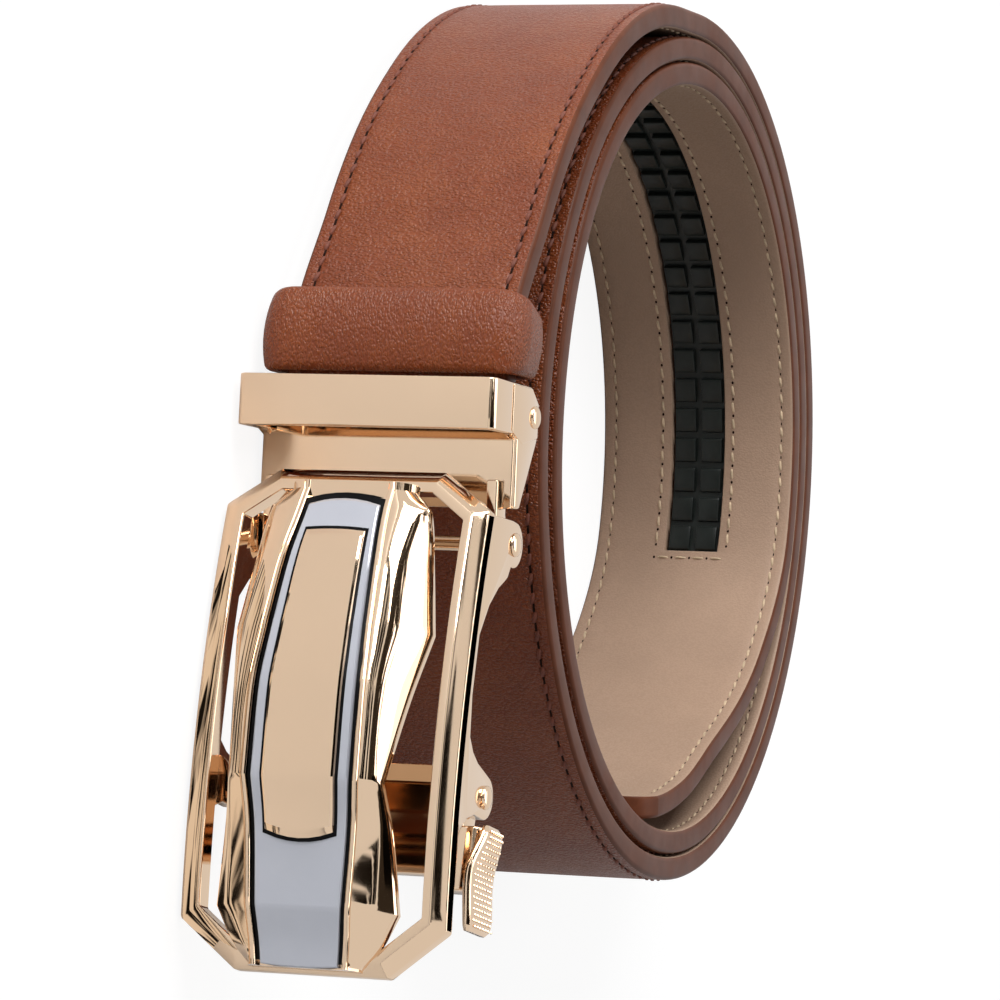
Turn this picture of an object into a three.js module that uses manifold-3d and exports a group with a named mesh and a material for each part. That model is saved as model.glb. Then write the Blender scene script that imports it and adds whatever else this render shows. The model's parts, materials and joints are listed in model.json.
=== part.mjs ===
// A ratchet belt, coiled and lying on its edge, in millimetres with +Z up.
// The strap is wound nearly three turns about Z, and its free end is inside the coil.
// The buckle stands off the front of the coil, towards -Y, and its long side runs along X.
import * as THREE from 'three';
import { mergeVertices } from 'three/addons/utils/BufferGeometryUtils.js';
import Module from 'manifold-3d';

const wasm = await Module();
wasm.setup();

// Driving dimensions

const CLEARANCE = 0.3;

const STRAP = {
  width: 35,
  faceThickness: 2.0,
  liningThickness: 1.65,
  glueLine: 0.15,
  liningInset: 0.1,
  edgeChamfer: 0.5,
  tailCornerRadius: 6,
};

const COIL = {
  radius: 70.7,
  layerGap: 0.3,
  sectionsPerTurn: 48,
  startTurn: 0.05,
  liftStartTurn: 0.27,
  leadSections: 7,
};

const TRACK = {
  windowWidth: 9.5,
  windowLength: 176,
  windowFromTail: 89.6,
  baseThickness: 0.5,
  toothHeight: 0.95,
  toothLength: 4,
  toothPitch: 5.5,
  groove: 1.2,
};

const KEEPER = {
  length: 10.6,
  wall: 2.2,
  tailRoom: 4.2,
  sideRoom: 0.7,
  cornerRadius: 4.2,
  bevel: 0.8,
  toClip: 0.3,
};

const PIN = {
  radius: 1.1,
  headRadius: 1.75,
  headHeight: 0.7,
  headGap: 0.05,
  sides: 16,
};

const CLIP = {
  sideRoom: 0.8,
  barLength: 7,
  barThickness: 2.2,
  tailRoom: 7.7,
  plateThickness: 1.6,
  plateFront: 0.5,
  wallThickness: 1.7,
  start: -24.2,
  end: -5.2,
  strapEnd: -5.6,
  lugRadius: 2.9,
  lugThickness: 1.7,
  flapThickness: 1.5,
  flapEnd: -6.8,
  flapPinFromStart: 5.2,
  flapPinRadius: 0.7,
  bevel: 0.5,
};

const HEAD = {
  sideReach: 0.3,
  length: 72.9,
  overlap: 8.1,
  front: 12,
  arch: 3.5,
  rimDepth: 3.5,
  rimWidth: 3.4,
  bevelWidth: 1.2,
  bevelHeight: 1.0,
  topCorner: { along: 5.6, across: 7.6 },
  bottomCorner: { along: 6.8, across: 8.6 },
  flangeThickness: 1.8,
  flangeNarrow: 4.6,
  hingeEarRadius: 3.4,
  pawlEarRadius: 3.2,
  toeReach: 3.4,
  toeDrop: 1,
  standOff: 26.2,
  hingeX: 22.1,
  tilt: 8.5,
};

const PAWL = {
  pinAlong: 37.2,
  pinHeight: 1.6,
  toothLead: 3.8,
  toothHeight: 4.2,
  barEnd: 11.6,
  barThickness: 3.2,
  armStart: 4.5,
  armEnd: 13.8,
  armHeight: 2.5,
  armDepth: 2.6,
  armWidth: 6.5,
  paddleGap: 1.6,
  paddleThickness: 1.8,
  paddleLength: 15.4,
  paddleTop: 7.9,
  paddleBottom: 1.1,
};

const SHIELD = {
  thickness: 1.6,
  bandThickness: 0.8,
  bandSeat: 0.1,
  panelThickness: 0.5,
};

// Route of the strap's outer face by turns from the front, clockwise seen from above.
// swell: how far it leaves the coil's outer circle, as a share of the radius
// wraps: how many layers it lies inside that circle
const WINDING = [
  { turn: 0.05, swell: 0.252, wraps: 0 },
  { turn: 0.08, swell: 0.197, wraps: 0 },
  { turn: 0.12, swell: 0.125, wraps: 0 },
  { turn: 0.19, swell: 0.038, wraps: 0 },
  { turn: 0.24, swell: 0, wraps: 0 },
  { turn: 0.98, swell: 0, wraps: 0 },
  { turn: 1.09, swell: 0, wraps: 0.5 },
  { turn: 1.22, swell: 0, wraps: 1 },
  { turn: 1.7, swell: 0, wraps: 1 },
  { turn: 1.85, swell: 0, wraps: 1.25 },
  { turn: 2.0, swell: 0, wraps: 1.6 },
  { turn: 2.1, swell: 0, wraps: 1.8 },
  { turn: 2.22, swell: 0, wraps: 2 },
  { turn: 2.53, swell: 0, wraps: 2 },
  { turn: 2.6, swell: 0, wraps: 2.95 },
  { turn: 2.68, swell: 0, wraps: 3.75 },
  { turn: 2.73, swell: 0, wraps: 3.05 },
  { turn: 2.78, swell: 0, wraps: 2.1 },
];

// Back edge of the side flange between the hinge's ear and the lever's.
// along: share of the way between the pins; depth: share of the way from the narrow part to the pins
const SCALLOP = [
  { along: 0.161, depth: 0.754 },
  { along: 0.285, depth: 0.239 },
  { along: 0.414, depth: 0 },
  { along: 0.645, depth: 0 },
  { along: 0.801, depth: 0.088 },
  { along: 0.882, depth: 0.512 },
];

// Cross-sections of the domed front, from the hinge end to the free end.
// along: share of the head's length; half widths: shares of its half width
// heights: shares of its width, above the rim's ends
const DOME = [
  { along: 0.05, band: 0.295, bandHeight: 0.085, wing: 0.47, wingHeight: 0.03 },
  { along: 0.09, band: 0.3, bandHeight: 0.12, wing: 0.6, wingHeight: 0.05 },
  { along: 0.2, band: 0.335, bandHeight: 0.195, wing: 0.67, wingHeight: 0.065 },
  { along: 0.336, band: 0.365, bandHeight: 0.25, wing: 0.74, wingHeight: 0.08, sharp: true },
  { along: 0.47, band: 0.39, bandHeight: 0.282, wing: 0.66, wingHeight: 0.145 },
  { along: 0.64, band: 0.395, bandHeight: 0.265, wing: 0.575, wingHeight: 0.205, sharp: true },
  { along: 0.73, band: 0.375, bandHeight: 0.205, wing: 0.62, wingHeight: 0.13 },
  { along: 0.883, band: 0.35, bandHeight: 0.155, wing: 0.68, wingHeight: 0.06, sharp: true },
  { along: 0.95, band: 0.33, bandHeight: 0.105, wing: 0.55, wingHeight: 0.04 },
  { along: 0.99, band: 0.32, bandHeight: 0.085, wing: 0.42, wingHeight: 0.03 },
];

// Inset panel on the band, in shares of the head's length and of the band's half width
const PANEL = { start: 0.145, end: 0.74, startWidth: 0.7, endWidth: 0.69 };

// Colours

const LEATHER = { color: 0x8a4529, roughness: 0.5, metalness: 0 };
const LINING = { color: 0xb2937a, roughness: 0.65, metalness: 0 };
const BLACK_PLASTIC = { color: 0x23282a, roughness: 0.4, metalness: 0 };
const GOLD = { color: 0xd4b896, roughness: 0.12, metalness: 1 };
const ENAMEL = { color: 0x9aa4ae, roughness: 0.15, metalness: 0.6 };

// Values worked out from the driving dimensions

const strapThickness = STRAP.faceThickness + STRAP.glueLine + STRAP.liningThickness;
const layerPitch = strapThickness + COIL.layerGap;
const clipWidth = STRAP.width + 2 * (CLIP.sideRoom + CLIP.wallThickness);
const headWidth = clipWidth + 2 * HEAD.sideReach;
const buckleLift = headWidth / 2 + PIN.headHeight + PIN.headGap - STRAP.width / 2;
const buckleMidZ = STRAP.width / 2 + buckleLift;
const hinge = new THREE.Vector3(HEAD.hingeX, -(COIL.radius + HEAD.standOff), buckleMidZ);
const plateBack = CLIP.plateFront - CLIP.plateThickness;
const strapOuterLevel = plateBack - 0.2;
const strapInnerLevel = strapOuterLevel - strapThickness;
const flapPinLevel = strapInnerLevel - CLEARANCE - CLIP.flapPinRadius - 0.35;
const holeRadius = PIN.radius + CLEARANCE;

// Small tools

function smoothStep(t) {
  const u = Math.min(1, Math.max(0, t));
  return u * u * (3 - 2 * u);
}

// Value of one column of a table at a position, on a curve that is smooth except at sharp rows.
function readTable(rows, key, column, at) {
  const last = rows.length - 1;
  if (at <= rows[0][key]) return rows[0][column];
  if (at >= rows[last][key]) return rows[last][column];
  const i = rows.findIndex((row) => row[key] > at) - 1;
  const secant = (j) => (rows[j + 1][column] - rows[j][column]) / (rows[j + 1][key] - rows[j][key]);
  const slope = (j) => {
    if (j === 0 || j === last || rows[j].sharp) return secant(i);
    const [before, after] = [secant(j - 1), secant(j)];
    return before * after <= 0 ? 0 : (2 * before * after) / (before + after);
  };
  const span = rows[i + 1][key] - rows[i][key];
  const t = (at - rows[i][key]) / span;
  const blend = smoothStep(t);
  const start = t * (1 - t) * (1 - t) * span * slope(i);
  const end = t * t * (t - 1) * span * slope(i + 1);
  return rows[i][column] * (1 - blend) + rows[i + 1][column] * blend + start + end;
}

// A closed body through sections that all have as many points.
function loft(sections, flat) {
  const count = flat.length;
  const positions = sections.flat().flatMap((p) => [p.x, p.y, p.z]);
  const index = [];
  for (let s = 0; s + 1 < sections.length; s += 1) {
    for (let i = 0; i < count; i += 1) {
      const a = s * count + i;
      const b = s * count + ((i + 1) % count);
      index.push(a, b, b + count, a, b + count, a + count);
    }
  }
  const end = (sections.length - 1) * count;
  const outline = flat.map(([u, v]) => new THREE.Vector2(u, v));
  const clockwise = THREE.ShapeUtils.isClockWise(outline);
  for (const [a, one, other] of THREE.ShapeUtils.triangulateShape(outline, [])) {
    const [b, c] = clockwise ? [other, one] : [one, other];
    index.push(a, c, b);
    index.push(end + a, end + b, end + c);
  }
  const geometry = new THREE.BufferGeometry();
  geometry.setAttribute('position', new THREE.Float32BufferAttribute(positions, 3));
  geometry.setIndex(index);
  return geometry;
}

function signedVolume(geometry) {
  const p = geometry.getAttribute('position');
  const index = geometry.getIndex();
  const [a, b, c] = [new THREE.Vector3(), new THREE.Vector3(), new THREE.Vector3()];
  let sum = 0;
  for (let i = 0; i < index.count; i += 3) {
    a.fromBufferAttribute(p, index.getX(i));
    b.fromBufferAttribute(p, index.getX(i + 1));
    c.fromBufferAttribute(p, index.getX(i + 2));
    sum += a.dot(b.cross(c)) / 6;
  }
  return sum;
}

function toSolid(geometry) {
  const bare = geometry.clone();
  bare.deleteAttribute('normal');
  bare.deleteAttribute('uv');
  const merged = mergeVertices(bare, 1e-4);
  const triangles = Uint32Array.from(merged.getIndex().array);
  if (signedVolume(merged) < 0) triangles.reverse();
  const vertices = Float32Array.from(merged.getAttribute('position').array);
  return new wasm.Manifold(new wasm.Mesh({ numProp: 3, vertProperties: vertices, triVerts: triangles }));
}

function toGeometry(solid) {
  const mesh = solid.getMesh();
  const geometry = new THREE.BufferGeometry();
  geometry.setAttribute('position', new THREE.Float32BufferAttribute(mesh.vertProperties, 3));
  geometry.setIndex(Array.from(mesh.triVerts));
  return geometry;
}

function piece(name, solid, finish) {
  const mesh = new THREE.Mesh(toGeometry(solid), new THREE.MeshStandardMaterial(finish));
  mesh.name = name;
  return mesh;
}

// A plate seen from the side: its outline is in x (along) and z (outward), its thickness in y.
function sidePlate(outline, from, to, bevel = 0) {
  const shape = new THREE.Shape(outline.map(([x, z]) => new THREE.Vector2(z, x)));
  const geometry = new THREE.ExtrudeGeometry(shape, {
    depth: to - from - 2 * bevel,
    bevelEnabled: bevel > 0,
    bevelSize: bevel,
    bevelThickness: bevel,
    bevelOffset: -bevel,
    bevelSegments: 1,
  });
  geometry.translate(0, 0, from + bevel);
  const turned = new THREE.Matrix4().set(0, 1, 0, 0, 0, 0, 1, 0, 1, 0, 0, 0, 0, 0, 0, 1);
  return toSolid(geometry.applyMatrix4(turned));
}

// Points of an arc in x and z, by degrees from +x towards +z.
function arc(x, z, radius, fromDegrees, toDegrees, steps) {
  return Array.from({ length: steps + 1 }, (_, i) => {
    const angle = THREE.MathUtils.degToRad(fromDegrees + ((toDegrees - fromDegrees) * i) / steps);
    return [x + radius * Math.cos(angle), z + radius * Math.sin(angle)];
  });
}

// A round bar or hole along y.
function roundBar(x, z, radius, from, to) {
  const geometry = new THREE.CylinderGeometry(radius, radius, to - from, PIN.sides);
  return toSolid(geometry.translate(x, (from + to) / 2, z));
}

// A riveted pin along y with a domed head at each end.
function rivet(x, z, radius, halfWidth) {
  const domeSteps = 4;
  const profile = [new THREE.Vector2(0, -halfWidth - PIN.headGap - PIN.headHeight)];
  for (let i = 1; i <= domeSteps; i += 1) {
    const angle = (i / domeSteps) * (Math.PI / 2);
    const r = PIN.headRadius * Math.sin(angle);
    profile.push(new THREE.Vector2(r, -halfWidth - PIN.headHeight * Math.cos(angle) - PIN.headGap));
  }
  profile.push(new THREE.Vector2(radius, -halfWidth - PIN.headGap));
  const mirrored = profile.map((p) => new THREE.Vector2(p.x, -p.y)).reverse();
  const geometry = new THREE.LatheGeometry([...profile, ...mirrored], PIN.sides);
  return toSolid(geometry.translate(x, 0, z));
}

// Strap

// Points of the outer face from the clip to the tail, each with its lift off the floor.
function strapRoute() {
  const spiral = (turn) => {
    const swell = readTable(WINDING, 'turn', 'swell', turn);
    const wraps = readTable(WINDING, 'turn', 'wraps', turn);
    const radius = COIL.radius * (1 + swell) - layerPitch * wraps;
    const angle = 2 * Math.PI * turn;
    return new THREE.Vector2(-radius * Math.sin(angle), -radius * Math.cos(angle));
  };
  const inClip = new THREE.Vector2(hinge.x + CLIP.start - 1, hinge.y - strapOuterLevel);
  const leave = spiral(COIL.startTurn);
  const heading = leave.clone().sub(spiral(COIL.startTurn + 0.01)).normalize();
  const reach = leave.distanceTo(inClip) * 0.38;
  const lead = new THREE.CubicBezierCurve(
    inClip,
    inClip.clone().add(new THREE.Vector2(-reach, 0)),
    leave.clone().add(heading.multiplyScalar(reach)),
    leave,
  );
  const points = [new THREE.Vector2(hinge.x + CLIP.strapEnd, inClip.y)];
  points.push(...lead.getSpacedPoints(COIL.leadSections));
  const turns = points.map(() => COIL.startTurn);
  const last = WINDING[WINDING.length - 1].turn;
  const first = Math.ceil(COIL.startTurn * COIL.sectionsPerTurn + 0.3);
  for (let i = first; i / COIL.sectionsPerTurn < last - 0.005; i += 1) {
    points.push(spiral(i / COIL.sectionsPerTurn));
    turns.push(i / COIL.sectionsPerTurn);
  }
  points.push(spiral(last));
  turns.push(last);
  const liftSpan = COIL.liftStartTurn - COIL.startTurn;
  let travelled = 0;
  return points.map((point, i) => {
    const before = points[Math.max(i - 1, 0)];
    const after = points[Math.min(i + 1, points.length - 1)];
    const along = after.clone().sub(before).normalize();
    travelled += i > 0 ? point.distanceTo(before) : 0;
    return {
      point,
      along,
      inward: new THREE.Vector2(along.y, -along.x),
      lift: buckleLift * smoothStep((COIL.liftStartTurn - turns[i]) / liftSpan),
      length: travelled,
    };
  });
}

const route = strapRoute();
const strapLength = route[route.length - 1].length;

// The route at a length from the clip.
function routeAt(length) {
  const next = Math.max(1, route.findIndex((r) => r.length >= length - 1e-6));
  const [a, b] = [route[next - 1], route[next]];
  const t = (length - a.length) / (b.length - a.length);
  const inward = a.inward.clone().lerp(b.inward, t).normalize();
  return {
    point: a.point.clone().lerp(b.point, t),
    along: new THREE.Vector2(-inward.y, inward.x),
    inward,
    lift: THREE.MathUtils.lerp(a.lift, b.lift, t),
    length,
  };
}

function routeBetween(from, to) {
  const middle = route.filter((r) => r.length > from + 0.5 && r.length < to - 0.5);
  return [routeAt(from), ...middle, routeAt(to)];
}

// Where a point lies that is so deep into the strap and so high on it.
function strapPoint(station, depth, height) {
  const p = station.point.clone().addScaledVector(station.inward, depth);
  return new THREE.Vector3(p.x, p.y, station.lift + height);
}

// A band along the strap; its outline is in depth and height, and rounded corners narrow its end.
function strapBand(stations, outline, cornerRadius) {
  const mid = STRAP.width / 2;
  const sections = stations.map((station) => {
    const fromEnd = Math.min(cornerRadius, Math.max(0, strapLength - station.length));
    const rise = Math.sqrt(Math.max(0, cornerRadius ** 2 - (cornerRadius - fromEnd) ** 2));
    const narrow = (mid - (cornerRadius - rise)) / mid;
    return outline.map(([depth, height]) => strapPoint(station, depth, mid + (height - mid) * narrow));
  });
  return toSolid(loft(sections, outline));
}

function strapStations() {
  const shares = [0.75, 0.5, 0.28, 0.12, 0.03];
  const corner = shares.map((share) => routeAt(strapLength - share * STRAP.tailCornerRadius));
  const body = route.filter((r) => r.length < strapLength - STRAP.tailCornerRadius);
  return [...body, routeAt(strapLength - STRAP.tailCornerRadius), ...corner, route[route.length - 1]];
}

function strapFace() {
  const [edge, w, t] = [STRAP.edgeChamfer, STRAP.width, STRAP.faceThickness];
  const outline = [[edge, 0], [0, edge], [0, w - edge], [edge, w], [t, w], [t, 0]];
  return strapBand(strapStations(), outline, STRAP.tailCornerRadius);
}

const liningStart = STRAP.faceThickness + STRAP.glueLine;
const windowEnd = strapLength - TRACK.windowFromTail;
const windowStart = windowEnd - TRACK.windowLength;

function strapLining() {
  const edge = STRAP.edgeChamfer;
  const [low, high] = [STRAP.liningInset, STRAP.width - STRAP.liningInset];
  const [from, to] = [liningStart, strapThickness];
  const outline = [
    [from, low],
    [from, high],
    [to - edge, high],
    [to, high - edge],
    [to, low + edge],
    [to - edge, low],
  ];
  const whole = strapBand(strapStations(), outline, STRAP.tailCornerRadius);
  return whole.subtract(windowCutter());
}

function windowCutter() {
  const low = (STRAP.width - TRACK.windowWidth) / 2;
  const high = low + TRACK.windowWidth;
  const [from, to] = [liningStart - 0.07, strapThickness + 1];
  const outline = [[from, low], [from, high], [to, high], [to, low]];
  return strapBand(routeBetween(windowStart, windowEnd), outline, 0);
}

// Two columns of sloping teeth on a thin base, sunk in the lining's window.
function ratchetTrack() {
  const side = 0.25;
  const low = (STRAP.width - TRACK.windowWidth) / 2 + side;
  const high = STRAP.width - low;
  const [from, to] = [liningStart, liningStart + TRACK.baseThickness];
  const outline = [[from, low], [from, high], [to, high], [to, low]];
  const base = strapBand(routeBetween(windowStart + side, windowEnd - side), outline, 0);
  const teeth = [];
  const mid = STRAP.width / 2;
  const rows = Math.floor((TRACK.windowLength - TRACK.toothPitch) / TRACK.toothPitch);
  const firstRow = (TRACK.windowLength - (rows - 1) * TRACK.toothPitch) / 2;
  for (let row = 0; row < rows; row += 1) {
    const station = routeAt(windowStart + firstRow + row * TRACK.toothPitch);
    teeth.push(tooth(station, low + side, mid - TRACK.groove / 2));
    teeth.push(tooth(station, mid + TRACK.groove / 2, high - side));
  }
  return teeth.reduce((solid, next) => solid.add(next), base);
}

function tooth(station, low, high) {
  const half = TRACK.toothLength / 2;
  const foot = liningStart + TRACK.baseThickness * 0.6;
  const heel = liningStart + TRACK.baseThickness + TRACK.toothHeight * 0.25;
  const tip = liningStart + TRACK.baseThickness + TRACK.toothHeight;
  const profile = [[-half, foot], [half, foot], [half, heel], [-half, tip]];
  const sections = [low, high].map((height) =>
    profile.map(([along, depth]) => {
      const p = strapPoint(station, depth, height);
      return new THREE.Vector3(p.x + along * station.along.x, p.y + along * station.along.y, p.z);
    }),
  );
  return toSolid(loft(sections, profile));
}

// The leather loop next to the clip, with room in front of the strap for the tail.
// It follows the strap's bend, and its edges are rolled over.
function keeperLoop() {
  const middle = CLIP.strapEnd - CLIP.start + 1 + KEEPER.toClip + KEEPER.length / 2;
  const half = KEEPER.length / 2;
  const inner = STRAP.width / 2 + KEEPER.sideRoom;
  const back = -strapThickness - CLEARANCE;
  const outerBox = (grow) => {
    const [low, high] = [back - KEEPER.wall - grow, KEEPER.tailRoom + KEEPER.wall + grow];
    return roundedBox(inner + KEEPER.wall + grow, low, high, KEEPER.cornerRadius + grow);
  };
  const innerBox = roundedBox(inner, back, KEEPER.tailRoom, KEEPER.cornerRadius - KEEPER.wall);
  const ring = (offset, outline) => {
    const station = routeAt(middle + offset);
    return outline.map(([across, level]) => strapPoint(station, -level, STRAP.width / 2 + across));
  };
  const rolled = [
    ring(-half, outerBox(-KEEPER.bevel)),
    ring(-half + KEEPER.bevel, outerBox(0)),
    ring(0, outerBox(0.2)),
    ring(half - KEEPER.bevel, outerBox(0)),
    ring(half, outerBox(-KEEPER.bevel)),
  ];
  const hollow = [-half - 1, -half / 3, half / 3, half + 1].map((offset) => ring(offset, innerBox));
  return toSolid(loft(rolled, outerBox(0))).subtract(toSolid(loft(hollow, innerBox)));
}

// Corner points of a box with round corners, in a plane of across and level.
function roundedBox(halfWidth, low, high, radius) {
  const [w, r] = [halfWidth - radius, radius];
  return [
    ...arc(w, low + r, r, -90, 0, 4),
    ...arc(w, high - r, r, 0, 90, 4),
    ...arc(-w, high - r, r, 90, 180, 4),
    ...arc(-w, low + r, r, 180, 270, 4),
  ];
}

// Clip, in a frame at the hinge pin: x along the strap, y across it, z outward

const barFront = CLIP.plateFront + CLIP.tailRoom + CLIP.barThickness;
const flapPinX = CLIP.start + CLIP.flapPinFromStart;
const clipInside = clipWidth / 2 - CLIP.wallThickness;

function clipBody() {
  const half = clipWidth / 2;
  const barEnd = CLIP.start + CLIP.barLength;
  const earBack = flapPinLevel - CLIP.flapPinRadius - 0.9;
  const wallOutline = [
    [CLIP.start, barFront],
    [barEnd, barFront],
    [barEnd + 0.6, CLIP.plateFront],
    [CLIP.end, CLIP.plateFront],
    [CLIP.end, strapOuterLevel - 0.6],
    [flapPinX + 3.4, earBack],
    [flapPinX - 2.2, earBack],
    [CLIP.start, earBack + 3],
  ];
  const bar = [
    [CLIP.start, barFront],
    [barEnd, barFront],
    [barEnd, barFront - CLIP.barThickness],
    [CLIP.start, barFront - CLIP.barThickness],
  ];
  const plate = [
    [CLIP.start, CLIP.plateFront],
    [CLIP.end, CLIP.plateFront],
    [CLIP.end, plateBack],
    [CLIP.start, plateBack],
  ];
  let solid = sidePlate(bar, -half, half, CLIP.bevel).add(sidePlate(plate, -clipInside - 0.5, clipInside + 0.5));
  for (const side of [-1, 1]) {
    solid = solid.add(sideWall(wallOutline, side * clipInside, side * half, CLIP.bevel));
    solid = solid.add(hingeLug(side));
  }
  return solid
    .subtract(roundBar(flapPinX, flapPinLevel, CLIP.flapPinRadius + CLEARANCE, -half - 1, half + 1))
    .subtract(roundBar(0, 0, holeRadius, -half - 1, half + 1));
}

function sideWall(outline, one, other, bevel) {
  return sidePlate(outline, Math.min(one, other), Math.max(one, other), bevel);
}

// The narrow lug that carries the hinge pin inside the head's flange.
function hingeLug(side) {
  const outer = headWidth / 2 - HEAD.flangeThickness - CLEARANCE;
  const outline = [
    [CLIP.end - 4, plateBack],
    [CLIP.end + 0.8, plateBack],
    ...arc(0, 0, CLIP.lugRadius, -100, 100, 10),
    [CLIP.end - 4, CLIP.lugRadius],
  ];
  return sideWall(outline, side * (outer - CLIP.lugThickness), side * outer, 0);
}

// The plate behind the strap end, hinged at its start.
function clampFlap() {
  const knuckle = CLIP.flapPinRadius + 0.35;
  const half = STRAP.width / 2 - 0.2;
  const plateTop = flapPinLevel + knuckle;
  const outline = [
    ...arc(flapPinX, flapPinLevel, knuckle, 90, 270, 8),
    [flapPinX + 2, plateTop - CLIP.flapThickness],
    [CLIP.flapEnd, plateTop - CLIP.flapThickness],
    [CLIP.flapEnd, plateTop],
  ];
  const bore = roundBar(flapPinX, flapPinLevel, CLIP.flapPinRadius + 0.15, -half - 1, half + 1);
  return sidePlate(outline, -half, half).subtract(bore);
}

// Head, in the same frame, turned about the hinge pin by its tilt

const headStart = -HEAD.overlap;
const headEnd = headStart + HEAD.length;

function rimTop(x) {
  const middle = (headStart + headEnd) / 2;
  return HEAD.front + HEAD.arch * (1 - ((x - middle) / (HEAD.length / 2)) ** 2);
}

function rimHalfWidth(x) {
  const half = headWidth / 2;
  const top = Math.min(1, (x - headStart) / HEAD.topCorner.along);
  const bottom = Math.min(1, (headEnd - x) / HEAD.bottomCorner.along);
  return half - (1 - top) * HEAD.topCorner.across - (1 - bottom) * HEAD.bottomCorner.across;
}

function rimPlate() {
  const { bevelWidth, bevelHeight } = HEAD;
  const straight = 9;
  const from = headStart + HEAD.topCorner.along;
  const to = headEnd - HEAD.bottomCorner.along;
  const stations = [headStart, headStart + bevelWidth];
  for (let i = 0; i <= straight; i += 1) stations.push(from + ((to - from) * i) / straight);
  stations.push(headEnd - bevelWidth, headEnd);
  const outlineAt = (x) => {
    const w = rimHalfWidth(x);
    const isEnd = x === headStart || x === headEnd;
    const top = rimTop(x) - (isEnd ? bevelHeight : 0);
    const shoulder = rimTop(x) - bevelHeight - (isEnd ? 0.05 : 0);
    const back = rimTop(x) - HEAD.rimDepth;
    return [[-w + bevelWidth, top], [w - bevelWidth, top], [w, shoulder], [w, back], [-w, back], [-w, shoulder]];
  };
  const sections = stations.map((x) => outlineAt(x).map(([y, z]) => new THREE.Vector3(x, y, z)));
  return toSolid(loft(sections, outlineAt(headStart)));
}

function rimHole() {
  const half = headWidth / 2 - HEAD.rimWidth;
  const [start, end] = [headStart + HEAD.rimWidth, headEnd - HEAD.rimWidth];
  const [top, bottom] = [HEAD.topCorner, HEAD.bottomCorner];
  const shape = new THREE.Shape([
    new THREE.Vector2(start, half - top.across),
    new THREE.Vector2(start, -half + top.across),
    new THREE.Vector2(start + top.along, -half),
    new THREE.Vector2(end - bottom.along, -half),
    new THREE.Vector2(end, -half + bottom.across),
    new THREE.Vector2(end, half - bottom.across),
    new THREE.Vector2(end - bottom.along, half),
    new THREE.Vector2(start + top.along, half),
  ]);
  return toSolid(new THREE.ExtrudeGeometry(shape, { depth: 2 * HEAD.front, bevelEnabled: false }));
}

// The side flange: deep round both pins and scalloped between them.
function flange(side) {
  const start = headStart + HEAD.topCorner.along + 0.4;
  const end = headEnd - HEAD.bottomCorner.along;
  const along = 10;
  const top = [];
  for (let i = 0; i <= along; i += 1) {
    const x = start + ((end - start) * i) / along;
    top.push([x, rimTop(x) - HEAD.bevelHeight - 0.2]);
  }
  const ear = HEAD.hingeEarRadius;
  const pawlEar = HEAD.pawlEarRadius;
  const [px, pz] = [PAWL.pinAlong, PAWL.pinHeight];
  const scallop = SCALLOP.map(({ along, depth }) => {
    const narrow = rimTop(px * along) - HEAD.flangeNarrow;
    return [px * along, narrow + (pz * along - narrow) * depth];
  });
  const outline = [
    ...top,
    [end, rimTop(end) - HEAD.rimDepth],
    [px + pawlEar + HEAD.toeReach, rimTop(px) - HEAD.rimDepth - HEAD.toeDrop],
    [px + pawlEar * 0.94, pz + pawlEar * 1.4],
    ...arc(px, pz, pawlEar, 0, -160, 7),
    ...scallop.reverse(),
    ...arc(0, 0, ear, 10, -170, 8),
    [-ear * 0.97, ear * 0.5],
  ];
  const outer = headWidth / 2;
  const inner = outer - HEAD.flangeThickness;
  return sideWall(outline, side * inner, side * outer, 0);
}

// Numbers of one cross-section of the domed front, in millimetres.
function domeAt(share) {
  const half = headWidth / 2;
  const read = (column) => readTable(DOME, 'along', column, share);
  return {
    x: headStart + HEAD.length * share,
    band: half * read('band'),
    bandTop: HEAD.front + headWidth * read('bandHeight'),
    wing: half * read('wing'),
    wingTop: HEAD.front + headWidth * read('wingHeight'),
  };
}

// The cross-sections that the shield, the band and the panel all share.
function domeStations() {
  const between = DOME.slice(1).map(({ along }, i) => (along + DOME[i].along) / 2);
  const all = [...DOME.map(({ along }) => along), ...between, PANEL.start, PANEL.end];
  return all.sort((a, b) => a - b);
}

// The domed front with its two wings and the bed of the centre band.
function shield() {
  const outlineAt = (share) => {
    const d = domeAt(share);
    const rim = d.band + CLEARANCE;
    const bed = d.bandTop - SHIELD.bandThickness - SHIELD.bandSeat;
    const under = bed - SHIELD.thickness + 0.5;
    const wingUnder = d.wingTop - SHIELD.thickness;
    return [
      [-d.wing, d.wingTop],
      [-rim - 0.5, d.bandTop],
      [-rim, d.bandTop],
      [-rim, bed],
      [rim, bed],
      [rim, d.bandTop],
      [rim + 0.5, d.bandTop],
      [d.wing, d.wingTop],
      [d.wing - 0.4, wingUnder],
      [rim, under],
      [-rim, under],
      [-d.wing + 0.4, wingUnder],
    ];
  };
  const sections = domeStations().map((share) => {
    const { x } = domeAt(share);
    return outlineAt(share).map(([y, z]) => new THREE.Vector3(x, y, z));
  });
  return toSolid(loft(sections, outlineAt(DOME[0].along)));
}

function buckleFrame() {
  let solid = rimPlate().subtract(rimHole()).add(shield());
  for (const side of [-1, 1]) solid = solid.add(flange(side));
  const half = headWidth / 2 + 1;
  return solid
    .subtract(roundBar(0, 0, holeRadius, -half, half))
    .subtract(roundBar(PAWL.pinAlong, PAWL.pinHeight, holeRadius, -half, half));
}

// A strip that follows the dome between two heights over the band's top.
function domeStrip(rows, low, high) {
  const outline = [[-1, low], [-1, high], [1, high], [1, low]];
  const sections = rows.map(({ along, halfWidth }) => {
    const { x, bandTop } = domeAt(along);
    return outline.map(([side, lift]) => new THREE.Vector3(x, side * halfWidth, bandTop + lift));
  });
  return toSolid(loft(sections, outline));
}

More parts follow.
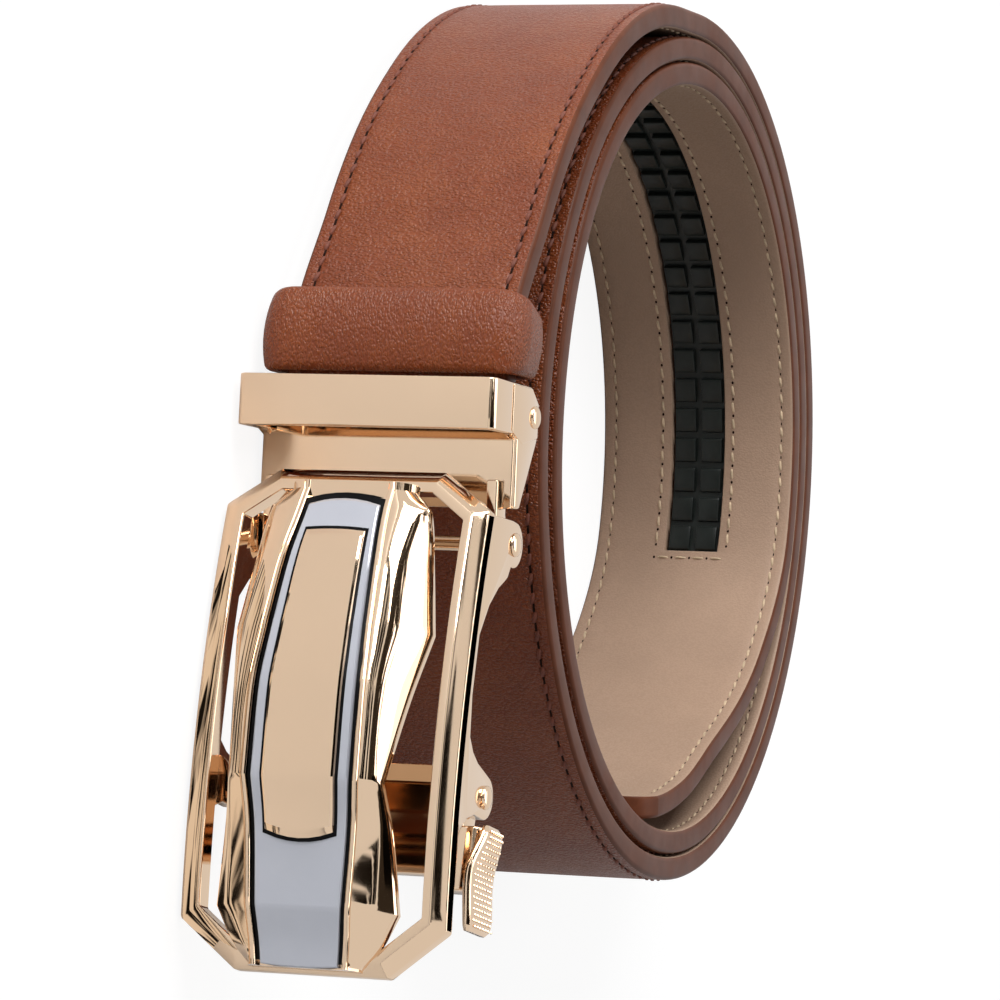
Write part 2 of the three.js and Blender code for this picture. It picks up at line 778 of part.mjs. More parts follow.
function centerBand() {
  const rows = domeStations().map((along) => ({ along, halfWidth: domeAt(along).band }));
  return domeStrip(rows, -SHIELD.bandThickness, 0);
}

function centerPanel() {
  const inside = domeStations().filter((along) => along >= PANEL.start && along <= PANEL.end);
  const rows = inside.map((along) => {
    const t = (along - PANEL.start) / (PANEL.end - PANEL.start);
    const share = THREE.MathUtils.lerp(PANEL.startWidth, PANEL.endWidth, t);
    return { along, halfWidth: domeAt(along).band * share };
  });
  return domeStrip(rows, SHIELD.bandSeat, SHIELD.bandSeat + SHIELD.panelThickness);
}

// The sprung pawl across the buckle, cast in one with its lever on the upper side.
function releasePawl() {
  const [px, pz] = [PAWL.pinAlong, PAWL.pinHeight];
  const half = headWidth / 2 - HEAD.flangeThickness - CLEARANCE;
  const bar = [
    [px - PAWL.toothLead, pz + PAWL.toothHeight],
    [px - PAWL.toothLead + 0.6, pz],
    [px - 2.2, pz - 2.4],
    [px + 2.6, pz - 2.6],
    [px + PAWL.barEnd, pz - 1.4],
    [px + PAWL.barEnd, pz - 1.4 + PAWL.barThickness],
    [px + 3.2, pz + 2.6],
    [px - 1.4, pz + 2.4],
  ];
  const arm = [
    [px + PAWL.armStart, pz - PAWL.armDepth],
    [px + PAWL.armEnd, pz - PAWL.armDepth + 0.8],
    [px + PAWL.armEnd, pz + PAWL.armHeight],
    [px + PAWL.armStart, pz + PAWL.armHeight],
  ];
  const paddleEnd = px + PAWL.armStart + PAWL.paddleLength;
  const paddle = [
    [px + PAWL.armStart, pz - PAWL.paddleBottom],
    [px + PAWL.armStart + 1.5, pz - PAWL.paddleBottom - 1.2],
    [paddleEnd - 1.5, pz - PAWL.paddleBottom],
    [paddleEnd, pz - PAWL.paddleBottom + 1.5],
    [paddleEnd, pz + PAWL.paddleTop - 1.5],
    [paddleEnd - 1.5, pz + PAWL.paddleTop],
    [px + PAWL.armStart + 1.5, pz + PAWL.paddleTop - 1],
    [px + PAWL.armStart, pz + PAWL.paddleTop - 2.5],
  ];
  const paddleInner = headWidth / 2 + PAWL.paddleGap;
  return sidePlate(bar, -half, half)
    .add(sidePlate(arm, half - PAWL.armWidth, paddleInner + PAWL.paddleThickness / 2))
    .add(sidePlate(paddle, paddleInner, paddleInner + PAWL.paddleThickness, 0.3))
    .subtract(roundBar(px, pz, holeRadius, -half - 1, half + 1));
}

// The whole belt

const buckleGroup = new THREE.Group();
buckleGroup.position.copy(hinge);
buckleGroup.rotation.x = Math.PI / 2;
buckleGroup.add(piece('clip_body', clipBody(), GOLD));
buckleGroup.add(piece('clamp_flap', clampFlap(), GOLD));
buckleGroup.add(
  piece('clamp_pin', rivet(flapPinX, flapPinLevel, CLIP.flapPinRadius, clipWidth / 2), GOLD),
);

const headGroup = new THREE.Group();
headGroup.rotation.y = -THREE.MathUtils.degToRad(HEAD.tilt);
headGroup.add(piece('buckle_frame', buckleFrame(), GOLD));
headGroup.add(piece('center_band', centerBand(), ENAMEL));
headGroup.add(piece('center_panel', centerPanel(), GOLD));
headGroup.add(piece('hinge_pin', rivet(0, 0, PIN.radius, headWidth / 2), GOLD));
headGroup.add(piece('pawl_pin', rivet(PAWL.pinAlong, PAWL.pinHeight, PIN.radius, headWidth / 2), GOLD));
headGroup.add(piece('release_pawl', releasePawl(), GOLD));
buckleGroup.add(headGroup);

const belt = new THREE.Group();
belt.add(piece('strap_face', strapFace(), LEATHER));
belt.add(piece('strap_lining', strapLining(), LINING));
belt.add(piece('ratchet_track', ratchetTrack(), BLACK_PLASTIC));
belt.add(piece('keeper_loop', keeperLoop(), LEATHER));
belt.add(buckleGroup);

// The origin is the middle of the box that the belt fills, on the floor.
const box = new THREE.Box3().setFromObject(belt, true);
const middle = box.getCenter(new THREE.Vector3());
belt.position.set(-middle.x, -middle.y, -box.min.z);

export default belt;
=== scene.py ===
"""A coiled ratchet belt: brown grained strap, tan lining, black ratchet track and gold buckle.

Lengths in tables and settings are in millimetres unless a unit is given. Meshes are in metres.
"""

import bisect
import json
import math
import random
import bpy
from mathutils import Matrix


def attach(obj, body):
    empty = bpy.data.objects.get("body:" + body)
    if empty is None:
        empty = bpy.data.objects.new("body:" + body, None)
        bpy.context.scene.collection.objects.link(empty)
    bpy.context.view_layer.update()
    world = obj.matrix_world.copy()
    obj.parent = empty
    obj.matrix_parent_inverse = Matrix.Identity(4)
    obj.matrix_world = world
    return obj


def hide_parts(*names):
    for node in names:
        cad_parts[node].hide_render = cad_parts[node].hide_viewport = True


bl_info = {
    "name": "Ratchet Belt",
    "version": (1, 0, 0),
    "blender": (4, 5, 0),
    "location": "View3D > Sidebar > Belt",
    "description": "Dresses a coiled ratchet belt: leather, stitching, ratchet track and buckle",
    "category": "Object",
}

from collections import namedtuple

import bmesh
import bpy
from mathutils import Matrix, Vector

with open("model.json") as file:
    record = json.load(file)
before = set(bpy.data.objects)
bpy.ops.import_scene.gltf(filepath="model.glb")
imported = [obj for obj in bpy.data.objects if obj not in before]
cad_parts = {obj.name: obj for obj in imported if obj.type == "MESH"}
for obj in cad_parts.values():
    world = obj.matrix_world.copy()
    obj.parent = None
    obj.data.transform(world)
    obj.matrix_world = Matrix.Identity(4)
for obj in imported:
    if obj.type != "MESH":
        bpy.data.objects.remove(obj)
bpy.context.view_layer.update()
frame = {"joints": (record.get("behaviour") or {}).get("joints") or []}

MM = 0.001

# Places that come from the frame, in millimetres

joint_at = {joint["name"]: Vector(joint["pos_m"]) / MM for joint in frame["joints"]}
hinge = joint_at["buckle_hinge"]
clamp_pin = joint_at["clamp_hinge"]
pawl_pin = joint_at["pawl_hinge"]


# Route of the strap's outer face by turns from the front, clockwise seen from above.
# swell: how far it leaves the coil's outer circle, as a share of the radius
# wraps: how many layers it lies inside that circle
WINDING = [
    {"turn": 0.05, "swell": 0.252, "wraps": 0},
    {"turn": 0.08, "swell": 0.197, "wraps": 0},
    {"turn": 0.12, "swell": 0.125, "wraps": 0},
    {"turn": 0.19, "swell": 0.038, "wraps": 0},
    {"turn": 0.24, "swell": 0, "wraps": 0},
    {"turn": 0.98, "swell": 0, "wraps": 0},
    {"turn": 1.09, "swell": 0, "wraps": 0.5},
    {"turn": 1.22, "swell": 0, "wraps": 1},
    {"turn": 1.7, "swell": 0, "wraps": 1},
    {"turn": 1.85, "swell": 0, "wraps": 1.25},
    {"turn": 2.0, "swell": 0, "wraps": 1.6},
    {"turn": 2.1, "swell": 0, "wraps": 1.8},
    {"turn": 2.22, "swell": 0, "wraps": 2},
    {"turn": 2.53, "swell": 0, "wraps": 2},
    {"turn": 2.6, "swell": 0, "wraps": 2.95},
    {"turn": 2.68, "swell": 0, "wraps": 3.75},
    {"turn": 2.73, "swell": 0, "wraps": 3.05},
    {"turn": 2.78, "swell": 0, "wraps": 2.1},
]

# Cross-sections of the buckle's domed front, from the hinge end to the free end.
# along: share of the head's length; half widths: shares of its half width
# heights: shares of its width, above the rim's ends
DOME = [
    {"along": 0.05, "band": 0.295, "band_height": 0.085, "wing": 0.47, "wing_height": 0.03},
    {"along": 0.09, "band": 0.3, "band_height": 0.12, "wing": 0.6, "wing_height": 0.05},
    {"along": 0.2, "band": 0.335, "band_height": 0.195, "wing": 0.67, "wing_height": 0.065},
    {"along": 0.336, "band": 0.365, "band_height": 0.25, "wing": 0.74, "wing_height": 0.08,
     "sharp": True},
    {"along": 0.47, "band": 0.39, "band_height": 0.282, "wing": 0.66, "wing_height": 0.145},
    {"along": 0.64, "band": 0.395, "band_height": 0.265, "wing": 0.575, "wing_height": 0.205,
     "sharp": True},
    {"along": 0.73, "band": 0.375, "band_height": 0.205, "wing": 0.62, "wing_height": 0.13},
    {"along": 0.883, "band": 0.35, "band_height": 0.155, "wing": 0.68, "wing_height": 0.06,
     "sharp": True},
    {"along": 0.95, "band": 0.33, "band_height": 0.105, "wing": 0.55, "wing_height": 0.04},
    {"along": 0.99, "band": 0.32, "band_height": 0.085, "wing": 0.42, "wing_height": 0.03},
]

# Facets of the wings beside the band.
# lip: share of the way from the band to the wing's edge where the top turns down
# lip_rise: how much higher the lip is than the wing's edge; bulge: how far the top swells
# ridge: share of the way to the lip where the two facets of the lower wing meet
# ridge_rise: how far that ridge stands over the flat between band and lip
WING = [
    {"along": 0.05, "lip": 0.95, "lip_rise": 0.2, "bulge": 0.3, "ridge": 0.5, "ridge_rise": 0},
    {"along": 0.12, "lip": 0.95, "lip_rise": 0.3, "bulge": 0.9, "ridge": 0.5, "ridge_rise": 0},
    {"along": 0.336, "lip": 0.95, "lip_rise": 0.4, "bulge": 1.5, "ridge": 0.5, "ridge_rise": 0},
    {"along": 0.51, "lip": 0.95, "lip_rise": 0.3, "bulge": 1.1, "ridge": 0.6, "ridge_rise": 0},
    {"along": 0.639, "lip": 0.94, "lip_rise": 0.3, "bulge": 0.4, "ridge": 0.9,
     "ridge_rise": 0.02, "sharp": True},
    {"along": 0.647, "lip": 0.94, "lip_rise": 0.3, "bulge": 0.0, "ridge": 0.9,
     "ridge_rise": 0.1, "sharp": True},
    {"along": 0.883, "lip": 0.94, "lip_rise": 0.5, "bulge": 0.0, "ridge": 0.55,
     "ridge_rise": 0.7, "sharp": True},
    {"along": 0.95, "lip": 0.94, "lip_rise": 0.4, "bulge": 0.0, "ridge": 0.3,
     "ridge_rise": 0.35},
    {"along": 0.99, "lip": 0.94, "lip_rise": 0.2, "bulge": 0.0, "ridge": 0.15,
     "ridge_rise": 0.05},
]

# Back edge of the buckle's side flange between the hinge's ear and the lever's.
# along: share of the way between the pins; depth: share of the way down to the pins
SCALLOP = [
    {"along": 0.14, "depth": 0.86},
    {"along": 0.161, "depth": 0.754},
    {"along": 0.2, "depth": 0.53},
    {"along": 0.285, "depth": 0.239},
    {"along": 0.414, "depth": 0},
    {"along": 0.645, "depth": 0},
    {"along": 0.801, "depth": 0.088},
    {"along": 0.85, "depth": 0.27},
    {"along": 0.882, "depth": 0.512},
]

# Settings that a user would change


class StrapSettings(bpy.types.PropertyGroup):
    """Sizes and colours of the strap, its lining, thread and loop."""

    width: bpy.props.FloatProperty(
        name="Width", description="Height of the coiled strap, in millimetres", default=35.0)
    face_thickness: bpy.props.FloatProperty(
        name="Face", description="Thickness of the brown face leather, in millimetres",
        default=2.08)
    thickness: bpy.props.FloatProperty(
        name="Thickness", description="Face and lining together, in millimetres", default=3.8)
    edge_radius: bpy.props.FloatProperty(
        name="Edge Radius", description="Rounding of the painted edges, in millimetres",
        default=0.75)
    tail_radius: bpy.props.FloatProperty(
        name="Tail Radius", description="Corner radius of the free end, in millimetres",
        default=6.0)
    stitch_inset: bpy.props.FloatProperty(
        name="Stitch Inset", description="Distance of the seams from the edge, in millimetres",
        default=2.3)
    stitch_pitch: bpy.props.FloatProperty(
        name="Stitch Pitch", description="Length of one stitch, in millimetres", default=3.1)
    face_color: bpy.props.FloatVectorProperty(
        name="Face Colour", description="Brown of the grained face leather", subtype="COLOR",
        size=3, default=(0.22, 0.055, 0.013))
    # Face Shade is the face's random darker tone, and also the painted shade in the grain's
    # creases.
    face_shade: bpy.props.FloatVectorProperty(
        name="Face Shade", description="Darker brown that the face drifts to", subtype="COLOR",
        size=3, default=(0.155, 0.031, 0.007))
    edge_color: bpy.props.FloatVectorProperty(
        name="Edge Colour", description="Paint on the cut edges", subtype="COLOR",
        size=3, default=(0.12, 0.037, 0.017))
    lining_color: bpy.props.FloatVectorProperty(
        name="Lining Colour", description="Tan of the smooth lining", subtype="COLOR",
        size=3, default=(0.4, 0.27, 0.19))
    lining_thread: bpy.props.FloatVectorProperty(
        name="Lining Thread", description="Cream thread on the lining", subtype="COLOR",
        size=3, default=(0.66, 0.5, 0.33))
    face_thread: bpy.props.FloatVectorProperty(
        name="Face Thread", description="Brown thread on the face", subtype="COLOR",
        size=3, default=(0.17, 0.04, 0.018))


class BuckleSettings(bpy.types.PropertyGroup):
    """Sizes and finishes of the buckle."""

    length: bpy.props.FloatProperty(
        name="Head Length", description="Length of the buckle's head, in millimetres", default=72.9)
    width: bpy.props.FloatProperty(
        name="Head Width", description="Width of the buckle's head, in millimetres", default=40.6)
    arch: bpy.props.FloatProperty(
        name="Arch", description="How far the head's rim bows outward, in millimetres", default=3.5)
    rim_face: bpy.props.FloatProperty(
        name="Rim Face", description="Flat width of the rim, in millimetres", default=1.5)
    rim_bevel: bpy.props.FloatProperty(
        name="Rim Bevel", description="Width of the rim's outer bevel, in millimetres", default=1.9)
    gold_color: bpy.props.FloatVectorProperty(
        name="Gold", description="Pale rose gold plating", subtype="COLOR",
        size=3, default=(0.82, 0.61, 0.43))
    enamel_color: bpy.props.FloatVectorProperty(
        name="Enamel", description="Blue-grey of the centre band", subtype="COLOR",
        size=3, default=(0.45, 0.465, 0.52))
    track_color: bpy.props.FloatVectorProperty(
        name="Track", description="Black of the ratchet track", subtype="COLOR",
        size=3, default=(0.006, 0.0085, 0.0075))


class StudioSettings(bpy.types.PropertyGroup):
    """Floor, light and camera."""

    floor_color: bpy.props.FloatVectorProperty(
        name="Floor", description="Colour of the pale floor", subtype="COLOR",
        size=3, default=(0.93, 0.93, 0.93))
    sky_strength: bpy.props.FloatProperty(
        name="Fill Light", description="Strength of the even light from all round", default=0.2)
    mirror_strength: bpy.props.FloatProperty(
        name="Mirrored Light", description="Strength of the surroundings that polish mirrors",
        default=0.85)
    floor_glow: bpy.props.FloatProperty(
        name="Floor Glow", description="Share of plain white in the floor that is seen directly",
        default=0.8)
    key_power: bpy.props.FloatProperty(
        name="Key Light", description="Power of the large soft light", subtype="POWER",
        default=19.0)
    focal_pixels: bpy.props.FloatProperty(
        name="Focal Length", description="Focal length in pixels of a frame 1000 wide",
        default=5004.4)


def strap_settings():
    return bpy.context.scene.belt_strap


def buckle_settings():
    return bpy.context.scene.belt_buckle


def studio_settings():
    return bpy.context.scene.belt_studio


# Curves and tables


def smooth_step(t):
    u = min(1.0, max(0.0, t))
    return u * u * (3 - 2 * u)


def mix(a, b, t):
    return a + (b - a) * t


def read_table(rows, key, column, at):
    """Value of a column at a position, on a curve that is smooth except at sharp rows."""
    last = len(rows) - 1
    if at <= rows[0][key]:
        return rows[0][column]
    if at >= rows[last][key]:
        return rows[last][column]
    i = next(n for n, row in enumerate(rows) if row[key] > at) - 1

    def secant(j):
        return (rows[j + 1][column] - rows[j][column]) / (rows[j + 1][key] - rows[j][key])

    def slope(j):
        if j == 0 or j == last or rows[j].get("sharp"):
            return secant(i)
        before, after = secant(j - 1), secant(j)
        return 0 if before * after <= 0 else 2 * before * after / (before + after)

    span = rows[i + 1][key] - rows[i][key]
    t = (at - rows[i][key]) / span
    start = t * (1 - t) * (1 - t) * span * slope(i)
    end = t * t * (t - 1) * span * slope(i + 1)
    return mix(rows[i][column], rows[i + 1][column], smooth_step(t)) + start + end


def spread(low, high, count):
    """Evenly spaced values from low to high, both included."""
    return [mix(low, high, i / (count - 1)) for i in range(count)]


# Meshes

HARD_EDGE_DEGREES = 25.0
SMOOTH_LIMIT_DEGREES = 32.0


def mesh_piece(name, verts, faces, body, materials, sharp=SMOOTH_LIMIT_DEGREES, uv=None,
               face_material=None):
    """A piece from points in millimetres, smooth except at edges sharper than an angle."""
    mesh = bpy.data.meshes.new(name)
    mesh.from_pydata([tuple(c * MM for c in v) for v in verts], [], faces)
    for material in materials:
        mesh.materials.append(material)
    if face_material:
        for polygon, index in zip(mesh.polygons, face_material):
            polygon.material_index = index
    if uv:
        layer = mesh.uv_layers.new(name="surface")
        for loop in mesh.loops:
            u, v = uv[loop.vertex_index]
            layer.data[loop.index].uv = (u * MM, v * MM)
    piece = bpy.data.objects.new(name, mesh)
    bpy.context.scene.collection.objects.link(piece)
    smooth_piece(piece, sharp)
    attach(piece, body)
    return piece


def smooth_piece(piece, sharp):
    """Faces out, smooth shading and sharp edges by angle."""
    work = bmesh.new()
    work.from_mesh(piece.data)
    bmesh.ops.recalc_face_normals(work, faces=work.faces)
    limit = math.radians(sharp)
    for face in work.faces:
        face.smooth = True
    for edge in work.edges:
        edge.smooth = len(edge.link_faces) == 2 and edge.calc_face_angle(0) < limit
    work.to_mesh(piece.data)
    work.free()


def bevel_piece(piece, width, segments=3):
    """Rounds a piece's hard edges by a width in millimetres."""
    work = bmesh.new()
    work.from_mesh(piece.data)
    bmesh.ops.recalc_face_normals(work, faces=work.faces)
    limit = math.radians(HARD_EDGE_DEGREES)
    hard = [e for e in work.edges if len(e.link_faces) == 2 and e.calc_face_angle(0) > limit]
    bmesh.ops.bevel(work, geom=hard, offset=width * MM, offset_type="OFFSET", segments=segments,
                    profile=0.5, affect="EDGES", clamp_overlap=True, harden_normals=False)
    work.to_mesh(piece.data)
    work.free()
    smooth_piece(piece, SMOOTH_LIMIT_DEGREES)


def loft(sections, closed=True, caps=True):
    """Points and faces of a skin through sections that have as many points each."""
    count = len(sections[0])
    verts = [tuple(p) for section in sections for p in section]
    faces = []
    around = count if closed else count - 1
    for s in range(len(sections) - 1):
        for i in range(around):
            a = s * count + i
            b = s * count + (i + 1) % count
            faces.append((a, b, b + count, a + count))
    if caps:
        end = (len(sections) - 1) * count
        faces.append(tuple(range(count - 1, -1, -1)))
        faces.append(tuple(range(end, end + count)))
    return verts, faces


def join_parts(parts):
    """Points and faces of several (points, faces) as one."""
    verts, faces = [], []
    for part_verts, part_faces in parts:
        base = len(verts)
        verts.extend(part_verts)
        faces.extend(tuple(base + i for i in face) for face in part_faces)
    return verts, faces


def arc_points(x, z, radius, start, end, steps):
    """Points of an arc by degrees from the first axis towards the second."""
    points = []
    for i in range(steps + 1):
        angle = math.radians(mix(start, end, i / steps))
        points.append((x + radius * math.cos(angle), z + radius * math.sin(angle)))
    return points


def prism(outline, low, high):
    """Points and faces of a plate: its outline is along and outward, its thickness across."""
    sections = [[(a, across, c) for a, c in outline] for across in (low, high)]
    return loft(sections)


def placed(part, matrix):
    """The part's points (along, across, outward) moved into the belt's own frame."""
    verts, faces = part
    return [tuple(matrix @ Vector(v)) for v in verts], faces


def buckle_matrix(tilt):
    """From along, across and outward at the hinge pin to the belt's frame, in millimetres."""
    c, s = math.cos(tilt), math.sin(tilt)
    return Matrix(((c, 0, -s, hinge.x), (-s, 0, -c, hinge.y), (0, 1, 0, hinge.z), (0, 0, 0, 1)))


# Strap

Station = namedtuple("Station", "point along inward lift length")


class Route:
    """The strap's outer face from the clip to the tail."""

    start_turn = 0.05
    lift_start_turn = 0.27
    layer_gap = 0.3
    clip_start = -24.2
    strap_end = -5.6
    outer_level = -1.3
    lead_reach = 0.38
    steps_per_turn = 150
    lead_steps = 34
    coil_radius = 70.7
    centre_before_hinge = 22.1
    coil_behind_hinge = 26.2

    def __init__(self):
        strap = strap_settings()
        self.lift = hinge.z - strap.width / 2
        self.pitch = strap.thickness + self.layer_gap
        self.centre = Vector((hinge.x - self.centre_before_hinge,
                              hinge.y + self.coil_radius + self.coil_behind_hinge))
        self.stations = self.lay()
        self.lengths = [s.length for s in self.stations]
        self.length = self.lengths[-1]

    def spiral(self, turn):
        swell = read_table(WINDING, "turn", "swell", turn)
        wraps = read_table(WINDING, "turn", "wraps", turn)
        radius = self.coil_radius * (1 + swell) - self.pitch * wraps
        angle = 2 * math.pi * turn
        return self.centre + Vector((-radius * math.sin(angle), -radius * math.cos(angle)))

    def lay(self):
        in_clip = Vector((hinge.x + self.clip_start - 1, hinge.y - self.outer_level))
        leave = self.spiral(self.start_turn)
        heading = (leave - self.spiral(self.start_turn + 0.01)).normalized()
        reach = (leave - in_clip).length * self.lead_reach
        knots = [in_clip, in_clip + Vector((-reach, 0)), leave + heading * reach, leave]
        points = [Vector((mix(hinge.x + self.strap_end, in_clip.x, i / 8), in_clip.y))
                  for i in range(8)]
        for i in range(self.lead_steps + 1):
            points.append(bezier(knots, i / self.lead_steps))
        turns = [self.start_turn] * len(points)
        last = WINDING[-1]["turn"]
        count = round((last - self.start_turn) * self.steps_per_turn)
        for i in range(1, count + 1):
            turn = mix(self.start_turn, last, i / count)
            points.append(self.spiral(turn))
            turns.append(turn)
        lift_span = self.lift_start_turn - self.start_turn
        stations, travelled = [], 0.0
        for i, point in enumerate(points):
            before = points[max(i - 1, 0)]
            after = points[min(i + 1, len(points) - 1)]
            along = (after - before).normalized()
            travelled += (point - before).length if i else 0
            lift = self.lift * smooth_step((self.lift_start_turn - turns[i]) / lift_span)
            stations.append(Station(point, along, Vector((along.y, -along.x)), lift, travelled))
        return stations

    def at(self, length):
        n = min(max(1, bisect.bisect_left(self.lengths, length)), len(self.stations) - 1)
        a, b = self.stations[n - 1], self.stations[n]
        t = (length - a.length) / (b.length - a.length)
        inward = a.inward.lerp(b.inward, t).normalized()
        return Station(a.point.lerp(b.point, t), Vector((-inward.y, inward.x)), inward,
                       mix(a.lift, b.lift, t), length)

    def narrowing(self, length):
        """Share of the width that is left where the tail's corners are rounded."""
        strap = strap_settings()
        radius = strap.tail_radius
        left = min(radius, max(0.0, self.length - length))
        rise = math.sqrt(max(0.0, radius ** 2 - (radius - left) ** 2))
        return (strap.width / 2 - (radius - rise)) / (strap.width / 2)

    def place(self, station, depth, height):
        """The point that is so deep in the strap and so high on it."""
        middle = strap_settings().width / 2
        height = middle + (height - middle) * self.narrowing(station.length)
        p = station.point + station.inward * depth
        return (p.x, p.y, station.lift + height)


def bezier(knots, t):
    a, b, c, d = knots
    u = 1 - t
    return a * u ** 3 + b * 3 * u * u * t + c * 3 * u * t * t + d * t ** 3


route_store = {}


def route():
    """The belt has one route, worked out once."""
    if "route" not in route_store:
        route_store["route"] = Route()
    return route_store["route"]


WINDOW_WIDTH = 9.5
WINDOW_LENGTH = 176.0
WINDOW_FROM_TAIL = 89.6
GROOVE_DEPTH = 0.22
LINING_GROOVE_SHARE = 0.8
GROOVE_HALF = 0.55


def window_span():
    end = route().length - WINDOW_FROM_TAIL
    return end - WINDOW_LENGTH, end


def edge_drop(distance, radius):
    """How far a rounded edge falls at a distance from the outline."""
    inside = min(max(distance, 0.0), radius)
    return radius - math.sqrt(max(0.0, radius ** 2 - (radius - inside) ** 2))


def seam_drop(height):
    """How deep the pressed seam line is at a height."""
    strap = strap_settings()
    away = min(abs(height - strap.stitch_inset), abs(strap.width - strap.stitch_inset - height))
    return GROOVE_DEPTH * smooth_step(1 - away / GROOVE_HALF)


def strap_columns(with_window):
    """Heights of the mesh lines that run along the strap."""
    strap = strap_settings()
    inset, width = strap.stitch_inset, strap.width
    low = [0, 0.04, 0.13, 0.28, 0.5, 0.75, 1.2, inset - GROOVE_HALF, inset - 0.3, inset,
           inset + 0.3, inset + GROOVE_HALF, 4.2]
    edge = (width - WINDOW_WIDTH) / 2
    middle = [7, 9.6, edge - 0.5, edge - 0.2, edge] if with_window else [8, 12]
    half = low + middle
    centre = [] if with_window else [width / 2]
    return half + centre + [width - h for h in reversed(half)]


def strap_lengths():
    stations = [s.length for s in route().stations]
    radius = strap_settings().tail_radius
    corner = [route().length - radius * share for share in (0.85, 0.7, 0.55, 0.4, 0.28, 0.18, 0.1,
                                                            0.05, 0.015)]
    return sorted([s for s in stations if s < corner[0] or s == stations[-1]] + corner)


def slab(lengths, columns, top, bottom, hole=None):
    """A sheet along the strap between two depths, with square holes where hole says."""
    stations = [route().at(length) for length in lengths]
    rows, count = len(stations), len(columns)
    verts, uv = [], []
    for depth in (top, bottom):
        for station in stations:
            for height in columns:
                verts.append(route().place(station, depth(station.length, height), height))
                uv.append((station.length, height))
    under = rows * count
    kept = set()
    for s in range(rows - 1):
        for c in range(count - 1):
            length = (lengths[s] + lengths[s + 1]) / 2
            height = (columns[c] + columns[c + 1]) / 2
            if not (hole and hole(length, height)):
                kept.add((s, c))
    faces, sides = [], []
    for s, c in sorted(kept):
        a, b, d, e = s * count + c, s * count + c + 1, (s + 1) * count + c + 1, (s + 1) * count + c
        faces.append((a, b, d, e))
        faces.append((a + under, e + under, d + under, b + under))
        for near, one, other in (((s, c - 1), a, e), ((s, c + 1), d, b), ((s - 1, c), b, a),
                                 ((s + 1, c), e, d)):
            if near not in kept:
                sides.append((one, other, other + under, one + under))
    return verts, faces + sides, uv, len(faces)


def make_strap_face():
    strap = strap_settings()
    radius = strap.edge_radius
    columns = strap_columns(False)

    def top(length, height):
        inset = min(height, strap.width - height)
        end = min(length - lengths[0], route().length - length)
        crown = 0.12 * (1 - smooth_step(inset / 7))
        drop = max(edge_drop(inset, radius), edge_drop(end, radius * 0.6))
        return min(drop + seam_drop(height) + crown * 0.5, strap.face_thickness - 0.6)

    lengths = strap_lengths()
    verts, faces, uv, side_start = slab(lengths, columns, top, lambda l, h: strap.face_thickness)
    outer = {i for i, h in enumerate(columns) if min(h, strap.width - h) < 0.9 * radius}
    kinds = []
    count = len(columns)
    for n, face in enumerate(faces):
        on_edge = n >= side_start or all(i % count in outer for i in face)
        kinds.append(1 if on_edge else 0)
    piece = mesh_piece("strap_face_leather", verts, faces, "belt",
                       [face_leather(), edge_paint()], sharp=40, uv=uv, face_material=kinds)
    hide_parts("strap_face")


def make_strap_lining():
    strap = strap_settings()
    radius = strap.edge_radius
    columns = strap_columns(True)
    start, end = window_span()
    half = WINDOW_WIDTH / 2
    extra = [start - 0.5, start - 0.2, start, end, end + 0.2, end + 0.5]
    lengths = sorted(set(strap_lengths() + extra))

    def top(length, height):
        inset = min(height, strap.width - height)
        tail = min(length - lengths[0], route().length - length)
        away = max(abs(height - strap.width / 2) - half, start - length, length - end)
        drop = max(edge_drop(inset, radius), edge_drop(tail, radius * 0.6), edge_drop(away, 0.5))
        return strap.thickness - max(drop, 0) - seam_drop(height) * LINING_GROOVE_SHARE

    def hole(length, height):
        return abs(height - strap.width / 2) < half and start < length < end

    verts, faces, uv, _ = slab(lengths, columns, top, lambda l, h: strap.face_thickness, hole)
    outer = {i for i, h in enumerate(columns) if min(h, strap.width - h) < 0.6 * radius}
    count = len(columns)
    kinds = [1 if all(i % count in outer for i in face) else 0 for face in faces]
    piece = mesh_piece("strap_lining_leather", verts, faces, "belt",
                       [lining_leather(), edge_paint()], sharp=40, uv=uv, face_material=kinds)
    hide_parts("strap_lining")


# Stitches

Stitch = namedtuple("Stitch", "length height run rise depth outward thick")
STITCH_RINGS = [(0.0, 0.12, 0.3), (0.12, 0.24, 0.06), (0.3, 0.29, -0.08), (0.5, 0.3, -0.12),
                (0.7, 0.29, -0.08), (0.88, 0.24, 0.06), (1.0, 0.12, 0.3)]
STITCH_SIDES = 6
STITCH_GAP = 0.85
FACE_SEAM_START = 30.0
LINING_SEAM_START = 20.0
SEAM_TO_TAIL = 7
FACE_SLANT, LINING_SLANT, BORDER_SLANT = 0.55, 0.3, 0.25
FACE_THREAD_SCALE, LINING_THREAD_SCALE = 1.3, 0.8
# Radii of the dark discs that are painted shade in the needle holes
FACE_HOLE_RADIUS, LINING_HOLE_RADIUS = 0.78, 0.28
BORDER_OUTSIDE = 1.7
BORDER_END_STITCHES = 4


def stitch_part(stitch):
    """One thread over the leather, dipping into its holes at both ends."""
    sections = []
    for share, ring_radius, sink in STITCH_RINGS:
        radius = ring_radius * stitch.thick
        station = route().at(stitch.length + stitch.run * (share - 0.5))
        height = stitch.height + stitch.rise * (share - 0.5)
        section = []
        for side in range(STITCH_SIDES):
            angle = 2 * math.pi * side / STITCH_SIDES
            depth = stitch.depth + stitch.outward * (sink - radius * math.sin(angle) * 0.85)
            away = radius * math.cos(angle)
            if abs(stitch.run) >= abs(stitch.rise):
                section.append(route().place(station, depth, height + away))
            else:
                beside = route().at(station.length + away)
                section.append(route().place(beside, depth, height))
        sections.append(section)
    return loft(sections)


